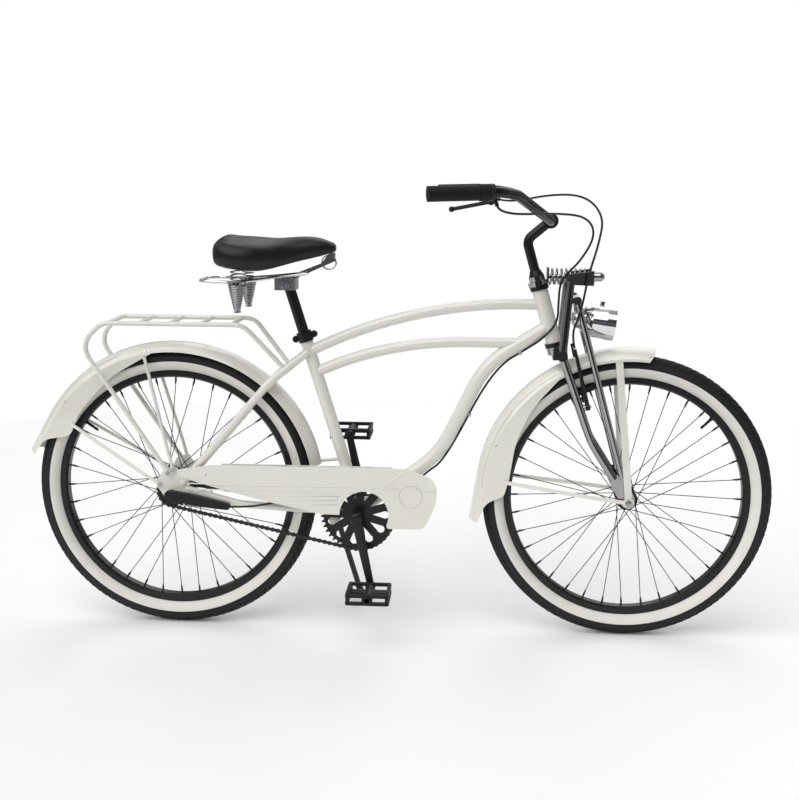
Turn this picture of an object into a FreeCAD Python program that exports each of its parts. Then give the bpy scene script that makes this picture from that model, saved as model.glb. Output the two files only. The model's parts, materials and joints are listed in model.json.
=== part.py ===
import FreeCAD, Part
import math
import os
from FreeCAD import Vector

# Beach cruiser with a springer fork, in millimetres.
# +X points forward, +Y to the rider's left, +Z up; the ground is z = 0.
# Lengths along X are written from the rear axle and shifted once by at().

# Wheels and the box they set
WHEELBASE = 1064.6
TYRE_RADIUS = 335.0
TYRE_SECTION_R = 27.0
TYRE_WALL = 4.0
FENDER_R = 353.0
REAR_SPAN = (10.7, 151.0)
REAR_TAIL = 93.0
TAIL_TURN = math.radians(REAR_SPAN[1])
FENDER_TAIL_REACH = REAR_TAIL * math.sin(TAIL_TURN) - FENDER_R * math.cos(TAIL_TURN)
REAR_AXLE_X = -(WHEELBASE + TYRE_RADIUS - FENDER_TAIL_REACH) / 2.0
AXLE_Z = TYRE_RADIUS
BEAD_HALF = 14.14
BEAD_R = 279.5
RIM_INNER_R = 268.0
RIM_HALF = 16.2
RIM_FLANGE_INNER = 14.3
RIM_FLANGE_R = 284.8
RIM_SEAT_R = 279.3
SPOKE_R = 0.95
SPOKE_RIM_Y = 3.0
SPOKE_TWIST = 60.0
NIPPLE_R = 2.2
NIPPLE_LENGTH = 12.0
FLANGE_HALF = 1.5
SPOKE_SEAT = 0.05
SPOKE_LEAN = 2.0

# Fits
RUN = 0.05
SIDE = 0.35
SEAT = 0.1

# Axles and hubs
AXLE_R = 5.0
CONE_R = 9.0
NUT_FLATS = 15.0
FRONT_FLANGE_Y = 32.0
FRONT_FLANGE_R = 24.0
FRONT_SPOKE_CIRCLE = 21.0
FRONT_SHELL_R = 16.0
FRONT_HUB_END = 42.0
FRONT_DROP_IN = 50.0
REAR_FLANGE_Y = 28.0
REAR_FLANGE_R = 38.0
REAR_SPOKE_CIRCLE = 35.0
REAR_SHELL_R = 30.0
REAR_HUB_RIGHT = -39.0
REAR_HUB_LEFT = 44.0
REAR_DROP_IN = 60.0
DROP_THICK = 5.0

# Drive train
CHAIN_Y = -46.0
CHAIN_PITCH = 12.7
RING_TEETH = 42
SPROCKET_TEETH = 18
ROLLER_R = 3.9
RING_THICK = 2.2
CRANK_LENGTH = 165.0
CRANK_ANGLE = 12.0
BB_X = 438.0
BB_Z = 289.0
SHELL_R = 25.0
SHELL_HALF = 35.0
SPINDLE_R = 11.0
ARM_IN = 80.0
ARM_OUT = 92.0
PEDAL_AXLE_R = 6.0
PEDAL_END = 190.0

# Frame tubes
HEAD_TOP = (852.0, 818.0)
HEAD_ANGLE = 74.0
HEAD_LENGTH = 125.0
HEAD_R = 18.0
HEAD_BORE_R = 15.6
STEERER_R = 12.7
CUP_HEIGHT = 10.0
CUP_R = 21.5
SEAT_ANGLE = 72.8
SEAT_TUBE_LENGTH = 443.0
SEAT_TUBE_R = 14.3
POST_R = 12.6
TOP_TUBE_R = 12.7
DOWN_TUBE_R = 15.9
STAY_R = 9.5
CHAIN_STAY_R = 9.0

HEAD_DIR = Vector(math.cos(math.radians(HEAD_ANGLE)), 0, -math.sin(math.radians(HEAD_ANGLE)))
SEAT_DIR = Vector(-math.cos(math.radians(SEAT_ANGLE)), 0, math.sin(math.radians(SEAT_ANGLE)))
AXIS_Y = Vector(0, 1, 0)


def at(x, y, z):
    """A point written from the rear axle, in the part's frame."""
    return Vector(REAR_AXLE_X + x, y, z)


def rod(start, end, radius):
    return Part.makeCylinder(radius, (end - start).Length, start, end - start)


def rod_y(x, z, y0, y1, radius):
    return rod(at(x, y0, z), at(x, y1, z), radius)


def sleeve(start, end, radius, bore):
    return rod(start, end, radius).cut(rod(start, end, bore))


def block(x0, x1, y0, y1, z0, z1):
    return Part.makeBox(x1 - x0, y1 - y0, z1 - z0, at(x0, y0, z0))


def join(shapes):
    whole = shapes[0]
    if len(shapes) > 1:
        whole = shapes[0].fuse(shapes[1:])
    return whole.removeSplitter()


def mirrored(shape):
    return shape.mirror(Vector(0, 0, 0), AXIS_Y)


def pair(shape):
    return Part.makeCompound([shape, mirrored(shape)])


def route(points, bends, closed=False):
    """Straight runs joined by tangent arcs; one bend radius or a list of them."""
    count = len(points)
    edges = []
    corners = []
    for i in range(count):
        here = points[i]
        if not closed and i in (0, count - 1):
            corners.append((here, here, here))
            continue
        back = (points[i - 1] - here).normalize()
        ahead = (points[(i + 1) % count] - here).normalize()
        half = back.getAngle(ahead) / 2.0
        radius = bends[i] if isinstance(bends, (list, tuple)) else bends
        if radius <= 0 or half > math.pi / 2.0 - 0.0005:
            corners.append((here, here, here))
            continue
        run = radius / math.tan(half)
        toward = (back + ahead).normalize()
        middle = here + toward * (radius / math.sin(half) - radius)
        corners.append((here + back * run, middle, here + ahead * run))
    for i in range(count):
        first, middle, last = corners[i]
        if (first - last).Length > 0.001:
            edges.append(Part.Arc(first, middle, last).toShape())
        if i == count - 1 and not closed:
            continue
        following = corners[(i + 1) % count][0]
        if (following - last).Length > 0.001:
            edges.append(Part.LineSegment(last, following).toShape())
    return Part.Wire(edges)


def round_section(wire, radius):
    start = wire.Edges[0].Vertexes[0].Point
    tangent = wire.Edges[0].tangentAt(wire.Edges[0].FirstParameter)
    return Part.Wire(Part.Circle(start, tangent, radius).toShape())


def swept(wire, radius):
    return wire.makePipeShell([round_section(wire, radius)], True, False)


def bent(points, bends, radius):
    return swept(route(points, bends), radius)


def plate(points, y0, y1, corner=0.0):
    """A flat plate from an outline in x and z, corners rounded, between two y planes."""
    outline = route([at(x, y0, z) for x, z in points], corner, True)
    return Part.Face(outline).extrude(Vector(0, y1 - y0, 0))


def hexagon(x, z, y0, y1, flats):
    across = flats / math.sqrt(3.0)
    corners = [(x + across * math.cos(math.radians(60 * k)), z + across * math.sin(math.radians(60 * k)))
               for k in range(6)]
    return plate(corners, y0, y1)


def turned(x, z, section):
    """A closed outline of (y, radius) points turned about the line along Y through x, z."""
    ring = Part.makePolygon([at(x, y, z + r) for y, r in section + section[:1]])
    return Part.Face(ring).revolve(at(x, 0, z), AXIS_Y, 360)


# Wheels


def tyre(x):
    core_r = TYRE_RADIUS - TYRE_SECTION_R
    inner = TYRE_SECTION_R - TYRE_WALL
    bead_in = BEAD_HALF - TYRE_WALL
    top_out = core_r - math.sqrt(TYRE_SECTION_R ** 2 - BEAD_HALF ** 2)
    top_in = core_r - math.sqrt(inner ** 2 - bead_in ** 2)

    def spot(y, r):
        return at(x, y, AXLE_Z + r)

    outer = Part.Arc(spot(BEAD_HALF, top_out), spot(0, TYRE_RADIUS), spot(-BEAD_HALF, top_out))
    lining = Part.Arc(spot(-bead_in, top_in), spot(0, core_r + inner), spot(bead_in, top_in))
    left = Part.makePolygon([spot(-BEAD_HALF, top_out), spot(-BEAD_HALF, BEAD_R),
                             spot(-bead_in, BEAD_R), spot(-bead_in, top_in)])
    right = Part.makePolygon([spot(bead_in, top_in), spot(bead_in, BEAD_R),
                              spot(BEAD_HALF, BEAD_R), spot(BEAD_HALF, top_out)])
    outline = Part.Wire([outer.toShape()] + left.Edges + [lining.toShape()] + right.Edges)
    return Part.Face(outline).revolve(at(x, 0, AXLE_Z), AXIS_Y, 360)


def rim(x):
    half = [(RIM_HALF, RIM_FLANGE_R), (RIM_FLANGE_INNER, RIM_FLANGE_R), (RIM_FLANGE_INNER, RIM_SEAT_R),
            (9.0, RIM_SEAT_R), (6.0, 275.0)]
    under = [(RIM_HALF, 272.5), (10.0, RIM_INNER_R)]
    left = [(-y, r) for y, r in reversed(half)]
    below = [(-y, r) for y, r in under] + [(y, r) for y, r in reversed(under)]
    return turned(x, AXLE_Z, half + left + below)


def spoke(x, side, flange_y, circle, outside, start, twist):
    """One spoke: a headed pin through the flange, the straight run and its nipple at the rim."""
    offset = FLANGE_HALF + SPOKE_R + SPOKE_SEAT + (SPOKE_LEAN if outside else 0.0)
    sign = side if outside else -side
    y_run = side * flange_y + sign * offset
    y_head = side * flange_y - sign * (FLANGE_HALF + 1.2)

    def spot(y, r, angle):
        a = math.radians(angle)
        return at(x + r * math.cos(a), y, AXLE_Z + r * math.sin(a))

    elbow = spot(y_run, circle, start)
    end = start + twist
    nipple_in = spot(side * SPOKE_RIM_Y, RIM_INNER_R - NIPPLE_LENGTH, end)
    nipple_out = spot(side * SPOKE_RIM_Y, RIM_INNER_R - SPOKE_SEAT, end)
    pin = rod(spot(y_head, circle, start), elbow, SPOKE_R)
    return join([pin, Part.makeSphere(SPOKE_R, elbow), rod(elbow, nipple_in, SPOKE_R),
                 Part.makeSphere(SPOKE_R, nipple_in), rod(nipple_in, nipple_out, NIPPLE_R)])


def spokes(x, flange_y, circle):
    made = []
    for side, lead in ((-1, 0.0), (1, 10.0)):
        for outside, start, twist in ((True, lead, SPOKE_TWIST), (False, lead + 20.0, -SPOKE_TWIST)):
            one = spoke(x, side, flange_y, circle, outside, start, twist)
            for k in range(9):
                turn = one.copy()
                turn.rotate(at(x, 0, AXLE_Z), AXIS_Y, 40.0 * k)
                made.append(turn)
    return Part.makeCompound(made)


def hub(x, right, left, shell_r, flange_y, flange_r, circle, end_r):
    section = [(right, AXLE_R + RUN), (right, end_r)]
    for side in (-1, 1):
        inner_r = end_r if side < 0 else shell_r
        outer_r = shell_r if side < 0 else end_r
        section += [(side * flange_y - FLANGE_HALF, inner_r), (side * flange_y - FLANGE_HALF, flange_r),
                    (side * flange_y + FLANGE_HALF, flange_r), (side * flange_y + FLANGE_HALF, outer_r)]
    section += [(left, end_r), (left, AXLE_R + RUN)]
    body = turned(x, AXLE_Z, section)
    holes = []
    for side, lead in ((-1, 0.0), (1, 10.0)):
        for k in range(18):
            a = math.radians(lead + 20.0 * k)
            hole_x = x + circle * math.cos(a)
            hole_z = AXLE_Z + circle * math.sin(a)
            y = side * flange_y
            holes.append(rod_y(hole_x, hole_z, y - 2 * FLANGE_HALF, y + 2 * FLANGE_HALF, SPOKE_R + SPOKE_SEAT))
    return body.cut(holes)


# Frame


def head_axis(z):
    """The point of the steering axis at a height."""
    top_x, top_z = HEAD_TOP
    return at(top_x, 0, top_z) + HEAD_DIR * ((z - top_z) / HEAD_DIR.z)


def seat_axis(length):
    """The point of the seat tube's axis this far above the bottom bracket."""
    return at(BB_X, 0, BB_Z) + SEAT_DIR * length


HEAD_HIGH = head_axis(HEAD_TOP[1])
HEAD_LOW = HEAD_HIGH + HEAD_DIR * HEAD_LENGTH
HEAD_SOLID = rod(HEAD_HIGH, HEAD_LOW, HEAD_R)
SEAT_SOLID = rod(seat_axis(0), seat_axis(SEAT_TUBE_LENGTH), SEAT_TUBE_R)
SHELL_SOLID = rod_y(BB_X, BB_Z, -SHELL_HALF, SHELL_HALF, SHELL_R)
TUBE_WALL = 1.6
DOWN_BEND = 220.0
DOWN_POINTS = [head_axis(734.5), at(732, 0, 645), at(627, 0, 428.5), at(BB_X, 0, BB_Z)]
DOWN_WIRE = route(DOWN_POINTS, DOWN_BEND)
DOWN_SOLID = swept(DOWN_WIRE, DOWN_TUBE_R)
TOP_START = (321.0, 668.0)
TOP_BOW = (584.0, 760.7)
TOP_END_Z = 783.0
TWIN_START = (335.5, 619.0)
TWIN_LEVEL = (685.0, 695.0)
TWIN_RADIUS = 844.0
TWIN_END_X = 812.0


def head_tube():
    return HEAD_SOLID.cut(rod(HEAD_HIGH, HEAD_LOW, HEAD_BORE_R))


def top_tube():
    arc = Part.Arc(at(TOP_START[0], 0, TOP_START[1]), at(TOP_BOW[0], 0, TOP_BOW[1]), head_axis(TOP_END_Z))
    wire = Part.Wire([arc.toShape()])
    tube = swept(wire, TOP_TUBE_R).cut(swept(wire, TOP_TUBE_R - TUBE_WALL))
    return tube.cut([HEAD_SOLID, SEAT_SOLID])


def twin_tube():
    level = at(TWIN_LEVEL[0], 0, TWIN_LEVEL[1])
    start = at(TWIN_START[0], 0, TWIN_START[1])
    half = math.asin((level.x - start.x) / TWIN_RADIUS) / 2.0
    middle = level + Vector(-TWIN_RADIUS * math.sin(half), 0, TWIN_RADIUS * (math.cos(half) - 1.0))
    arc = Part.Arc(start, middle, level)
    run = Part.LineSegment(level, at(TWIN_END_X, 0, TWIN_LEVEL[1]))
    wire = Part.Wire([arc.toShape(), run.toShape()])
    tube = swept(wire, TOP_TUBE_R).cut(swept(wire, TOP_TUBE_R - TUBE_WALL))
    return tube.cut([SEAT_SOLID, DOWN_SOLID])


def down_tube():
    return DOWN_SOLID.cut(swept(DOWN_WIRE, DOWN_TUBE_R - TUBE_WALL)).cut([HEAD_SOLID, SHELL_SOLID])


def seat_tube():
    tube = SEAT_SOLID.cut(rod(seat_axis(0), seat_axis(SEAT_TUBE_LENGTH), POST_R + RUN))
    return tube.cut([SHELL_SOLID, DOWN_SOLID])


def bottom_bracket_shell():
    return SHELL_SOLID.cut(rod_y(BB_X, BB_Z, -SHELL_HALF, SHELL_HALF, SHELL_R - 4.0))


def bearing_cups():
    cups = []
    for start, way in ((HEAD_HIGH, HEAD_DIR * -1.0), (HEAD_LOW, HEAD_DIR)):
        cups.append(sleeve(start, start + way * CUP_HEIGHT, CUP_R, STEERER_R + RUN))
    for side in (-1, 1):
        start = at(BB_X, side * SHELL_HALF, BB_Z)
        cups.append(sleeve(start, start + Vector(0, side * 5.0, 0), SHELL_R - 2.0, SPINDLE_R + RUN))
    return Part.makeCompound(cups)


# Rear triangle: stays, dropouts, bridge and stand block, welded in one
SEAT_STAY = [(318.0, 15.0, 668.0), (235.0, 49.0, 603.0), (26.0, 63.6, 360.0)]
SEAT_STAY_BEND = 160.0
CHAIN_STAY = [(34.0, 64.0, 346.0), (160.0, 60.0, 312.0), (305.0, 41.0, 298.0), (345.0, 32.0, 295.0),
              (418.0, 27.0, 289.0)]
CHAIN_STAY_BEND = 150.0
DROPOUT = [(-34, 350), (-34, 364), (-16, 394), (0, 398), (14, 394), (40, 362), (46, 340), (30, 322), (0, 316),
           (-14, 322)]
FENDER_HALF = 38.0
FENDER_WALL = 1.6
BRIDGE_R = 5.0
BRIDGE_SLOPE = math.radians(48.72)
BLOCK_X = (355.0, 395.0)
BLOCK_Z = (270.0, 287.0)
BLOCK_HALF = 34.0
STAND_PIVOT = at(375, 47, 262)
STAND_DOWN = Vector(0.159, 0.493, -0.855).normalize()
STAND_UP = Vector(-0.998, 0.05, -0.02).normalize()
STAND_AXIS = STAND_DOWN.cross(STAND_UP).normalize()
STAND_PIN_R = 6.0
STAND_BOSS_HALF = 6.0


def stay_solid(points, bend, radius):
    return bent([at(x, y, z) for x, y, z in points], bend, radius)


SEAT_STAY_SOLID = stay_solid(SEAT_STAY, SEAT_STAY_BEND, STAY_R)


def rear_triangle():
    bridge_out = FENDER_R + BRIDGE_R + SEAT
    bridge_x = bridge_out * math.cos(BRIDGE_SLOPE)
    bridge_z = AXLE_Z + bridge_out * math.sin(BRIDGE_SLOPE)
    drop = plate(DROPOUT, REAR_DROP_IN, REAR_DROP_IN + DROP_THICK, 4.0)
    drop = drop.cut(rod_y(0, AXLE_Z, REAR_DROP_IN, REAR_DROP_IN + DROP_THICK, AXLE_R + RUN))
    side = [SEAT_STAY_SOLID, stay_solid(CHAIN_STAY, CHAIN_STAY_BEND, CHAIN_STAY_R), drop]
    both = side + [mirrored(one) for one in side]
    both.append(rod_y(bridge_x, bridge_z, -46.0, 46.0, BRIDGE_R))
    both.append(block(BLOCK_X[0], BLOCK_X[1], -BLOCK_HALF, BLOCK_HALF, BLOCK_Z[0], BLOCK_Z[1]))
    both.append(block(BLOCK_X[0] + 8.0, BLOCK_X[1] - 8.0, 12.0, BLOCK_HALF, 242.0, BLOCK_Z[1]))
    both.append(rod(STAND_PIVOT - STAND_AXIS * 24.0, STAND_PIVOT + STAND_AXIS * 8.0, STAND_PIN_R))
    around = rod_y(BB_X, BB_Z, -SHELL_HALF - 10.0, SHELL_HALF + 10.0, SHELL_R)
    return join(both).cut([SEAT_SOLID, around])


def seat_clamp():
    """A collar round the top of the seat tube with two eyelet ears and its bolt."""
    low = seat_axis(SEAT_TUBE_LENGTH - 22.0)
    high = seat_axis(SEAT_TUBE_LENGTH + 2.0)
    bore = rod(low, high, SEAT_TUBE_R + RUN)
    collar = rod(low, high, SEAT_TUBE_R + 3.5)
    middle = (low + high) * 0.5
    back = Vector(-SEAT_DIR.z, 0, SEAT_DIR.x)
    ears = []
    for way in (back, back * -1.0):
        ear = middle + way * (SEAT_TUBE_R + 8.0)
        ears.append(rod(ear - AXIS_Y * 4.0, ear + AXIS_Y * 4.0, 8.0))
    bolt = middle + back * (SEAT_TUBE_R + 9.0)
    ears.append(rod(bolt - AXIS_Y * 9.0, bolt + AXIS_Y * 9.0, 4.0))
    lip = rod(seat_axis(SEAT_TUBE_LENGTH), high, SEAT_TUBE_R + 3.5)
    return join([collar.cut(bore)] + [ear.cut(bore) for ear in ears] + [lip]).cut(
        rod(low, high + SEAT_DIR, POST_R + RUN))


# Fenders, guard and rack
FENDER_EDGE_DROP = 22.0
SKIRT_LOW_R = 270.0
REAR_EDGE_R = 331.0
REAR_EDGE_X = -46.0
REAR_SKIRT = [(-146, 605), (-223, 521), (-248, 462), (-312, 452), (-345, 405)]
REAR_SKIRT_BENDS = [200.0, 150.0, 25.0, 40.0, 0.0]
FRONT_SPAN = (80.7, 171.0)
FRONT_TAIL = 115.0
FRONT_EDGE_R = 325.0
FRONT_EDGE_X = 899.0
FRONT_SKIRT = [(843, 552), (804, 470), (791, 380), (779, 338), (736, 319), (712, 255)]
FRONT_SKIRT_BENDS = [250.0, 250.0, 60.0, 14.0, 40.0, 0.0]
FENDER_STAY_R = 4.0
STAY_CLEAR = 0.2
STAY_LEVEL = 45.0
STAY_BEND = 80.0


def polar(x, angle, radius, y=0.0):
    a = math.radians(angle)
    return at(x + radius * math.cos(a), y, AXLE_Z + radius * math.sin(a))


def fender_section(x, angle):
    """The crowned cross-section with straight side walls, on the ray at this angle."""
    crown = FENDER_R - FENDER_EDGE_DROP
    thin = FENDER_HALF - FENDER_WALL
    crown_in = crown - FENDER_WALL / 2.0

    def spot(y, r):
        return polar(x, angle, r, y)

    outer = Part.Arc(spot(-FENDER_HALF, crown), spot(0, FENDER_R), spot(FENDER_HALF, crown))
    inner = Part.Arc(spot(thin, crown_in), spot(0, FENDER_R - FENDER_WALL), spot(-thin, crown_in))
    left = Part.makePolygon([spot(FENDER_HALF, crown), spot(FENDER_HALF, SKIRT_LOW_R),
                             spot(thin, SKIRT_LOW_R), spot(thin, crown_in)])
    right = Part.makePolygon([spot(-thin, crown_in), spot(-thin, SKIRT_LOW_R),
                              spot(-FENDER_HALF, SKIRT_LOW_R), spot(-FENDER_HALF, crown)])
    return Part.Face(Part.Wire([outer.toShape()] + left.Edges + [inner.toShape()] + right.Edges))


def fender(x, span, tail, edge_r, edge_x, skirt, bends):
    """A crowned sheet round the wheel, a straight tail, and the side edge cut to its outline."""
    begin, end = span
    a = math.radians(end)
    sheet = fender_section(x, begin).revolve(at(x, 0, AXLE_Z), AXIS_Y, begin - end)
    run = fender_section(x, end).extrude(Vector(-math.sin(a), 0, math.cos(a)) * tail)
    wide = FENDER_HALF + 5.0
    edge_z = AXLE_Z + math.sqrt(edge_r ** 2 - (edge_x - x) ** 2)
    disc = rod_y(x, AXLE_Z, -wide, wide, edge_r)
    disc = disc.common(block(edge_x, x + edge_r, -wide, wide, AXLE_Z, AXLE_Z + edge_r))
    low = AXLE_Z - SKIRT_LOW_R
    points = [(edge_x, edge_z)] + skirt + [(skirt[-1][0], low), (edge_x, low)]
    outline = route([at(px, -wide, pz) for px, pz in points], [0.0] + bends + [0.0, 0.0], True)
    below = Part.Face(outline).extrude(Vector(0, 2.0 * wide, 0))
    return join([sheet, run]).cut([disc, below])


def rear_fender():
    sheet = fender(0.0, REAR_SPAN, REAR_TAIL, REAR_EDGE_R, REAR_EDGE_X, REAR_SKIRT, REAR_SKIRT_BENDS)
    tab = rod(at(340, 0, 406), at(396, 0, 412), 4.0)
    inside = rod_y(0, AXLE_Z, -20.0, 20.0, FENDER_R - FENDER_WALL)
    return join([sheet, tab.cut([SEAT_SOLID, inside])])


REAR_STAYS = [((6.0, 392.0), (-62.0, 656.0)), ((-26.0, 357.0), (-243.0, 492.0))]


def stay_rods(ends, low_y):
    """One side's fender stays, from outside the axle plates to the fender's side wall."""
    high_y = FENDER_HALF + FENDER_STAY_R + STAY_CLEAR
    made = []
    for a, b in ends:
        start, level, tip = at(a[0], low_y, a[1]), at(b[0], low_y, b[1]), at(b[0], high_y, b[1])
        knee = start + (level - start).normalize() * STAY_LEVEL
        made.append(bent([start, knee, tip], STAY_BEND, FENDER_STAY_R))
    return made


def rear_fender_stays():
    low_y = REAR_DROP_IN + DROP_THICK + FENDER_STAY_R + STAY_CLEAR
    made = stay_rods(REAR_STAYS, low_y)
    return Part.makeCompound(made + [mirrored(one) for one in made])


RACK_R = 5.5
RACK_BEND = 45.0
RACK_HALF = 70.0
RACK_Z = 736.0
RACK_BARS = [150.0, 78.0, 6.0, -66.0, -138.0]


def rear_rack():
    low_y = REAR_DROP_IN + DROP_THICK + RACK_R + STAY_CLEAR
    points = [at(268, 35.5, 629), at(178, RACK_HALF, RACK_Z), at(-152, RACK_HALF, RACK_Z),
              at(-203, RACK_HALF, 684), at(-6, low_y, 386)]
    rail = bent(points, RACK_BEND, RACK_R).cut(SEAT_STAY_SOLID)
    bars = [rod_y(x, RACK_Z, -RACK_HALF, RACK_HALF, RACK_R - 1.0) for x in RACK_BARS]
    return join([rail, mirrored(rail)] + bars)


GUARD_Y = -75.0
GUARD_WALL = 1.5
GUARD_TOP = [(18, 396), (100, 408), (556, 408), (624, 382), (624, 330), (596, 264), (508, 264), (508, 295)]
GUARD_BOTTOM = [(402, 295), (354, 296), (209, 327), (95, 357), (18, 379)]
GUARD_BENDS = [8.0, 20.0, 90.0, 40.0, 60.0, 25.0, 6.0, 0.0, 0.0, 60.0, 60.0, 40.0, 8.0]
GUARD_EYE = (455.0, 295.0, 57.0)
GUARD_LINES = [363.0, 349.0]


def chain_guard():
    """A sheet beside the chain with a crank cut-out, raised lines, a turned-in top and a strap."""
    y0 = GUARD_Y - GUARD_WALL
    sheet = Part.Face(route([at(x, y0, z) for x, z in GUARD_TOP + GUARD_BOTTOM], GUARD_BENDS, True))
    sheet = sheet.extrude(Vector(0, GUARD_WALL, 0))
    eye_x, eye_z, eye_r = GUARD_EYE
    raised = 0.8
    eye = rod_y(eye_x, eye_z, y0 - raised, GUARD_Y, eye_r)
    sheet = sheet.cut(eye)
    marks = [block(40.0, 536.0, y0 - raised, y0, z - 1.5, z + 1.5).cut(eye) for z in GUARD_LINES]
    marks.append(sleeve(at(562, y0 - raised, 344), at(562, y0, 344), 28.0, 24.5))
    flange = block(120.0, 520.0, y0, GUARD_Y + 16.0, 408.0 - GUARD_WALL, 408.0)
    strap = block(386.0, 408.0, y0, -6.0, 392.0, 396.0).cut(SEAT_SOLID)
    foot = block(60.0, 72.0, GUARD_Y, -60.0, 384.0, 388.0).cut(mirrored(SEAT_STAY_SOLID))
    return join([sheet, flange, strap, foot] + marks)


# Rear axle and what hangs on it
AXLE_RIGHT = -84.0
AXLE_LEFT = 86.0
COVER_Y = (-80.0, -93.0)
ARM_Y = (46.3, 49.3)
BOSS_Y = (-52.0, -40.0)


def rear_axle():
    """The rear axle with its cones, washers and nuts."""
    drop_out = REAR_DROP_IN + DROP_THICK
    pieces = [rod_y(0, AXLE_Z, AXLE_RIGHT, AXLE_LEFT, AXLE_R)]
    pieces.append(rod_y(0, AXLE_Z, -REAR_DROP_IN, BOSS_Y[0] - SIDE, CONE_R))
    pieces.append(rod_y(0, AXLE_Z, ARM_Y[1], REAR_DROP_IN, CONE_R))
    for side in (-1, 1):
        pieces.append(rod_y(0, AXLE_Z, side * drop_out, side * (drop_out + 2.0), CONE_R + 1.0))
        pieces.append(hexagon(0, AXLE_Z, side * (drop_out + 2.0), side * (drop_out + 9.0), NUT_FLATS))
    return join(pieces)


def bell_crank():
    """The plastic cover over the gear rod at the right axle end."""
    y0, y1 = COVER_Y
    shape = [(-11, 324), (-11, 346), (8, 347), (60, 338), (143, 319), (143, 304), (60, 312), (8, 323)]
    bends = [9.0, 9.0, 12.0, 60.0, 7.0, 7.0, 60.0, 12.0]
    outline = route([at(x, y0, z) for x, z in shape], bends, True)
    body = Part.Face(outline).extrude(Vector(0, y1 - y0, 0))
    return body.cut(rod_y(0, AXLE_Z, y0, AXLE_RIGHT - RUN, AXLE_R + RUN))


def coaster_arm():
    """The brake reaction arm from the left axle end to the chain stay."""
    y0, y1 = ARM_Y
    arm = plate([(-14, 322), (-14, 348), (30, 344), (156, 322), (156, 306), (30, 322)], y0, y1, 6.0)
    pad = rod_y(146, 316, y0, 56.0, 6.0)
    stay = stay_solid(CHAIN_STAY, CHAIN_STAY_BEND, CHAIN_STAY_R)
    return join([arm, pad.cut(stay)]).cut(rod_y(0, AXLE_Z, y0, y1, AXLE_R + RUN))


# Drive train
RING_PITCH_R = CHAIN_PITCH / (2.0 * math.sin(math.pi / RING_TEETH))
SPROCKET_PITCH_R = CHAIN_PITCH / (2.0 * math.sin(math.pi / SPROCKET_TEETH))
CHAIN_SPAN = math.hypot(BB_X, BB_Z - AXLE_Z)
CHAIN_TILT = math.atan2(BB_Z - AXLE_Z, BB_X)
CHAIN_LEAN = math.asin((RING_PITCH_R - SPROCKET_PITCH_R) / CHAIN_SPAN)
CHAIN_RUN = CHAIN_SPAN * math.cos(CHAIN_LEAN)
UP_TURN = CHAIN_TILT + math.pi / 2.0 + CHAIN_LEAN
LOW_TURN = CHAIN_TILT - math.pi / 2.0 - CHAIN_LEAN
CHAIN_SPARE = CHAIN_PITCH - math.fmod(CHAIN_RUN, CHAIN_PITCH)
RING_STEP = 2.0 * math.pi / RING_TEETH
SPROCKET_STEP = 2.0 * math.pi / SPROCKET_TEETH
RING_PHASE = UP_TURN - CHAIN_SPARE / RING_PITCH_R
TOOTH_HEIGHT = 3.4
NOTCH_R = ROLLER_R + SEAT
MOUTH_RISE = 4.0
MOUTH_SPREAD = 1.9
BAND_HALF = 4.0
BAND_Y = (2.4, 3.9)


def toothed(x, z, teeth, pitch_r, phase):
    """A disc with a round notch for each roller, the first at the phase angle."""
    disc = rod_y(x, z, CHAIN_Y - RING_THICK / 2.0, CHAIN_Y + RING_THICK / 2.0, pitch_r + TOOTH_HEIGHT)
    notches = []
    for k in range(teeth):
        a = phase + 2.0 * math.pi * k / teeth
        out = (math.cos(a), math.sin(a))
        mouth = []
        top = pitch_r + MOUTH_RISE
        wide = NOTCH_R + MOUTH_SPREAD
        for r, half in ((pitch_r, -NOTCH_R), (top, -wide), (top, wide), (pitch_r, NOTCH_R)):
            mouth.append((x + r * out[0] - half * out[1], z + r * out[1] + half * out[0]))
        notches.append(plate(mouth, CHAIN_Y - RING_THICK, CHAIN_Y + RING_THICK))
        notches.append(rod_y(x + pitch_r * out[0], z + pitch_r * out[1],
                             CHAIN_Y - RING_THICK, CHAIN_Y + RING_THICK, NOTCH_R))
    return disc.cut(notches)


def chainring():
    """The front ring: roller notches, eleven drop-shaped slots and the spindle hole."""
    ring = toothed(BB_X, BB_Z, RING_TEETH, RING_PITCH_R, RING_PHASE)
    slots = []
    for k in range(11):
        a = 2.0 * math.pi * k / 11.0
        wide = (BB_X + 64.0 * math.cos(a), BB_Z + 64.0 * math.sin(a))
        tip = (BB_X + 34.0 * math.cos(a), BB_Z + 34.0 * math.sin(a))
        side = (-9.0 * math.sin(a), 9.0 * math.cos(a))
        drop = [tip, (wide[0] + side[0], wide[1] + side[1]), (wide[0] - side[0], wide[1] - side[1])]
        slots.append(plate(drop, CHAIN_Y - RING_THICK, CHAIN_Y + RING_THICK))
        slots.append(rod_y(wide[0], wide[1], CHAIN_Y - RING_THICK, CHAIN_Y + RING_THICK, 9.0))
    bore = rod_y(BB_X, BB_Z, CHAIN_Y - RING_THICK, CHAIN_Y + RING_THICK, SPINDLE_R + RUN)
    return ring.cut(slots + [bore])


def sprocket():
    """The rear sprocket on its driver boss."""
    wheel = toothed(0.0, AXLE_Z, SPROCKET_TEETH, SPROCKET_PITCH_R, UP_TURN)
    boss = rod_y(0, AXLE_Z, BOSS_Y[0], BOSS_Y[1], 20.0)
    return join([wheel, boss]).cut(rod_y(0, AXLE_Z, BOSS_Y[0], BOSS_Y[1], AXLE_R + RUN))


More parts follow.
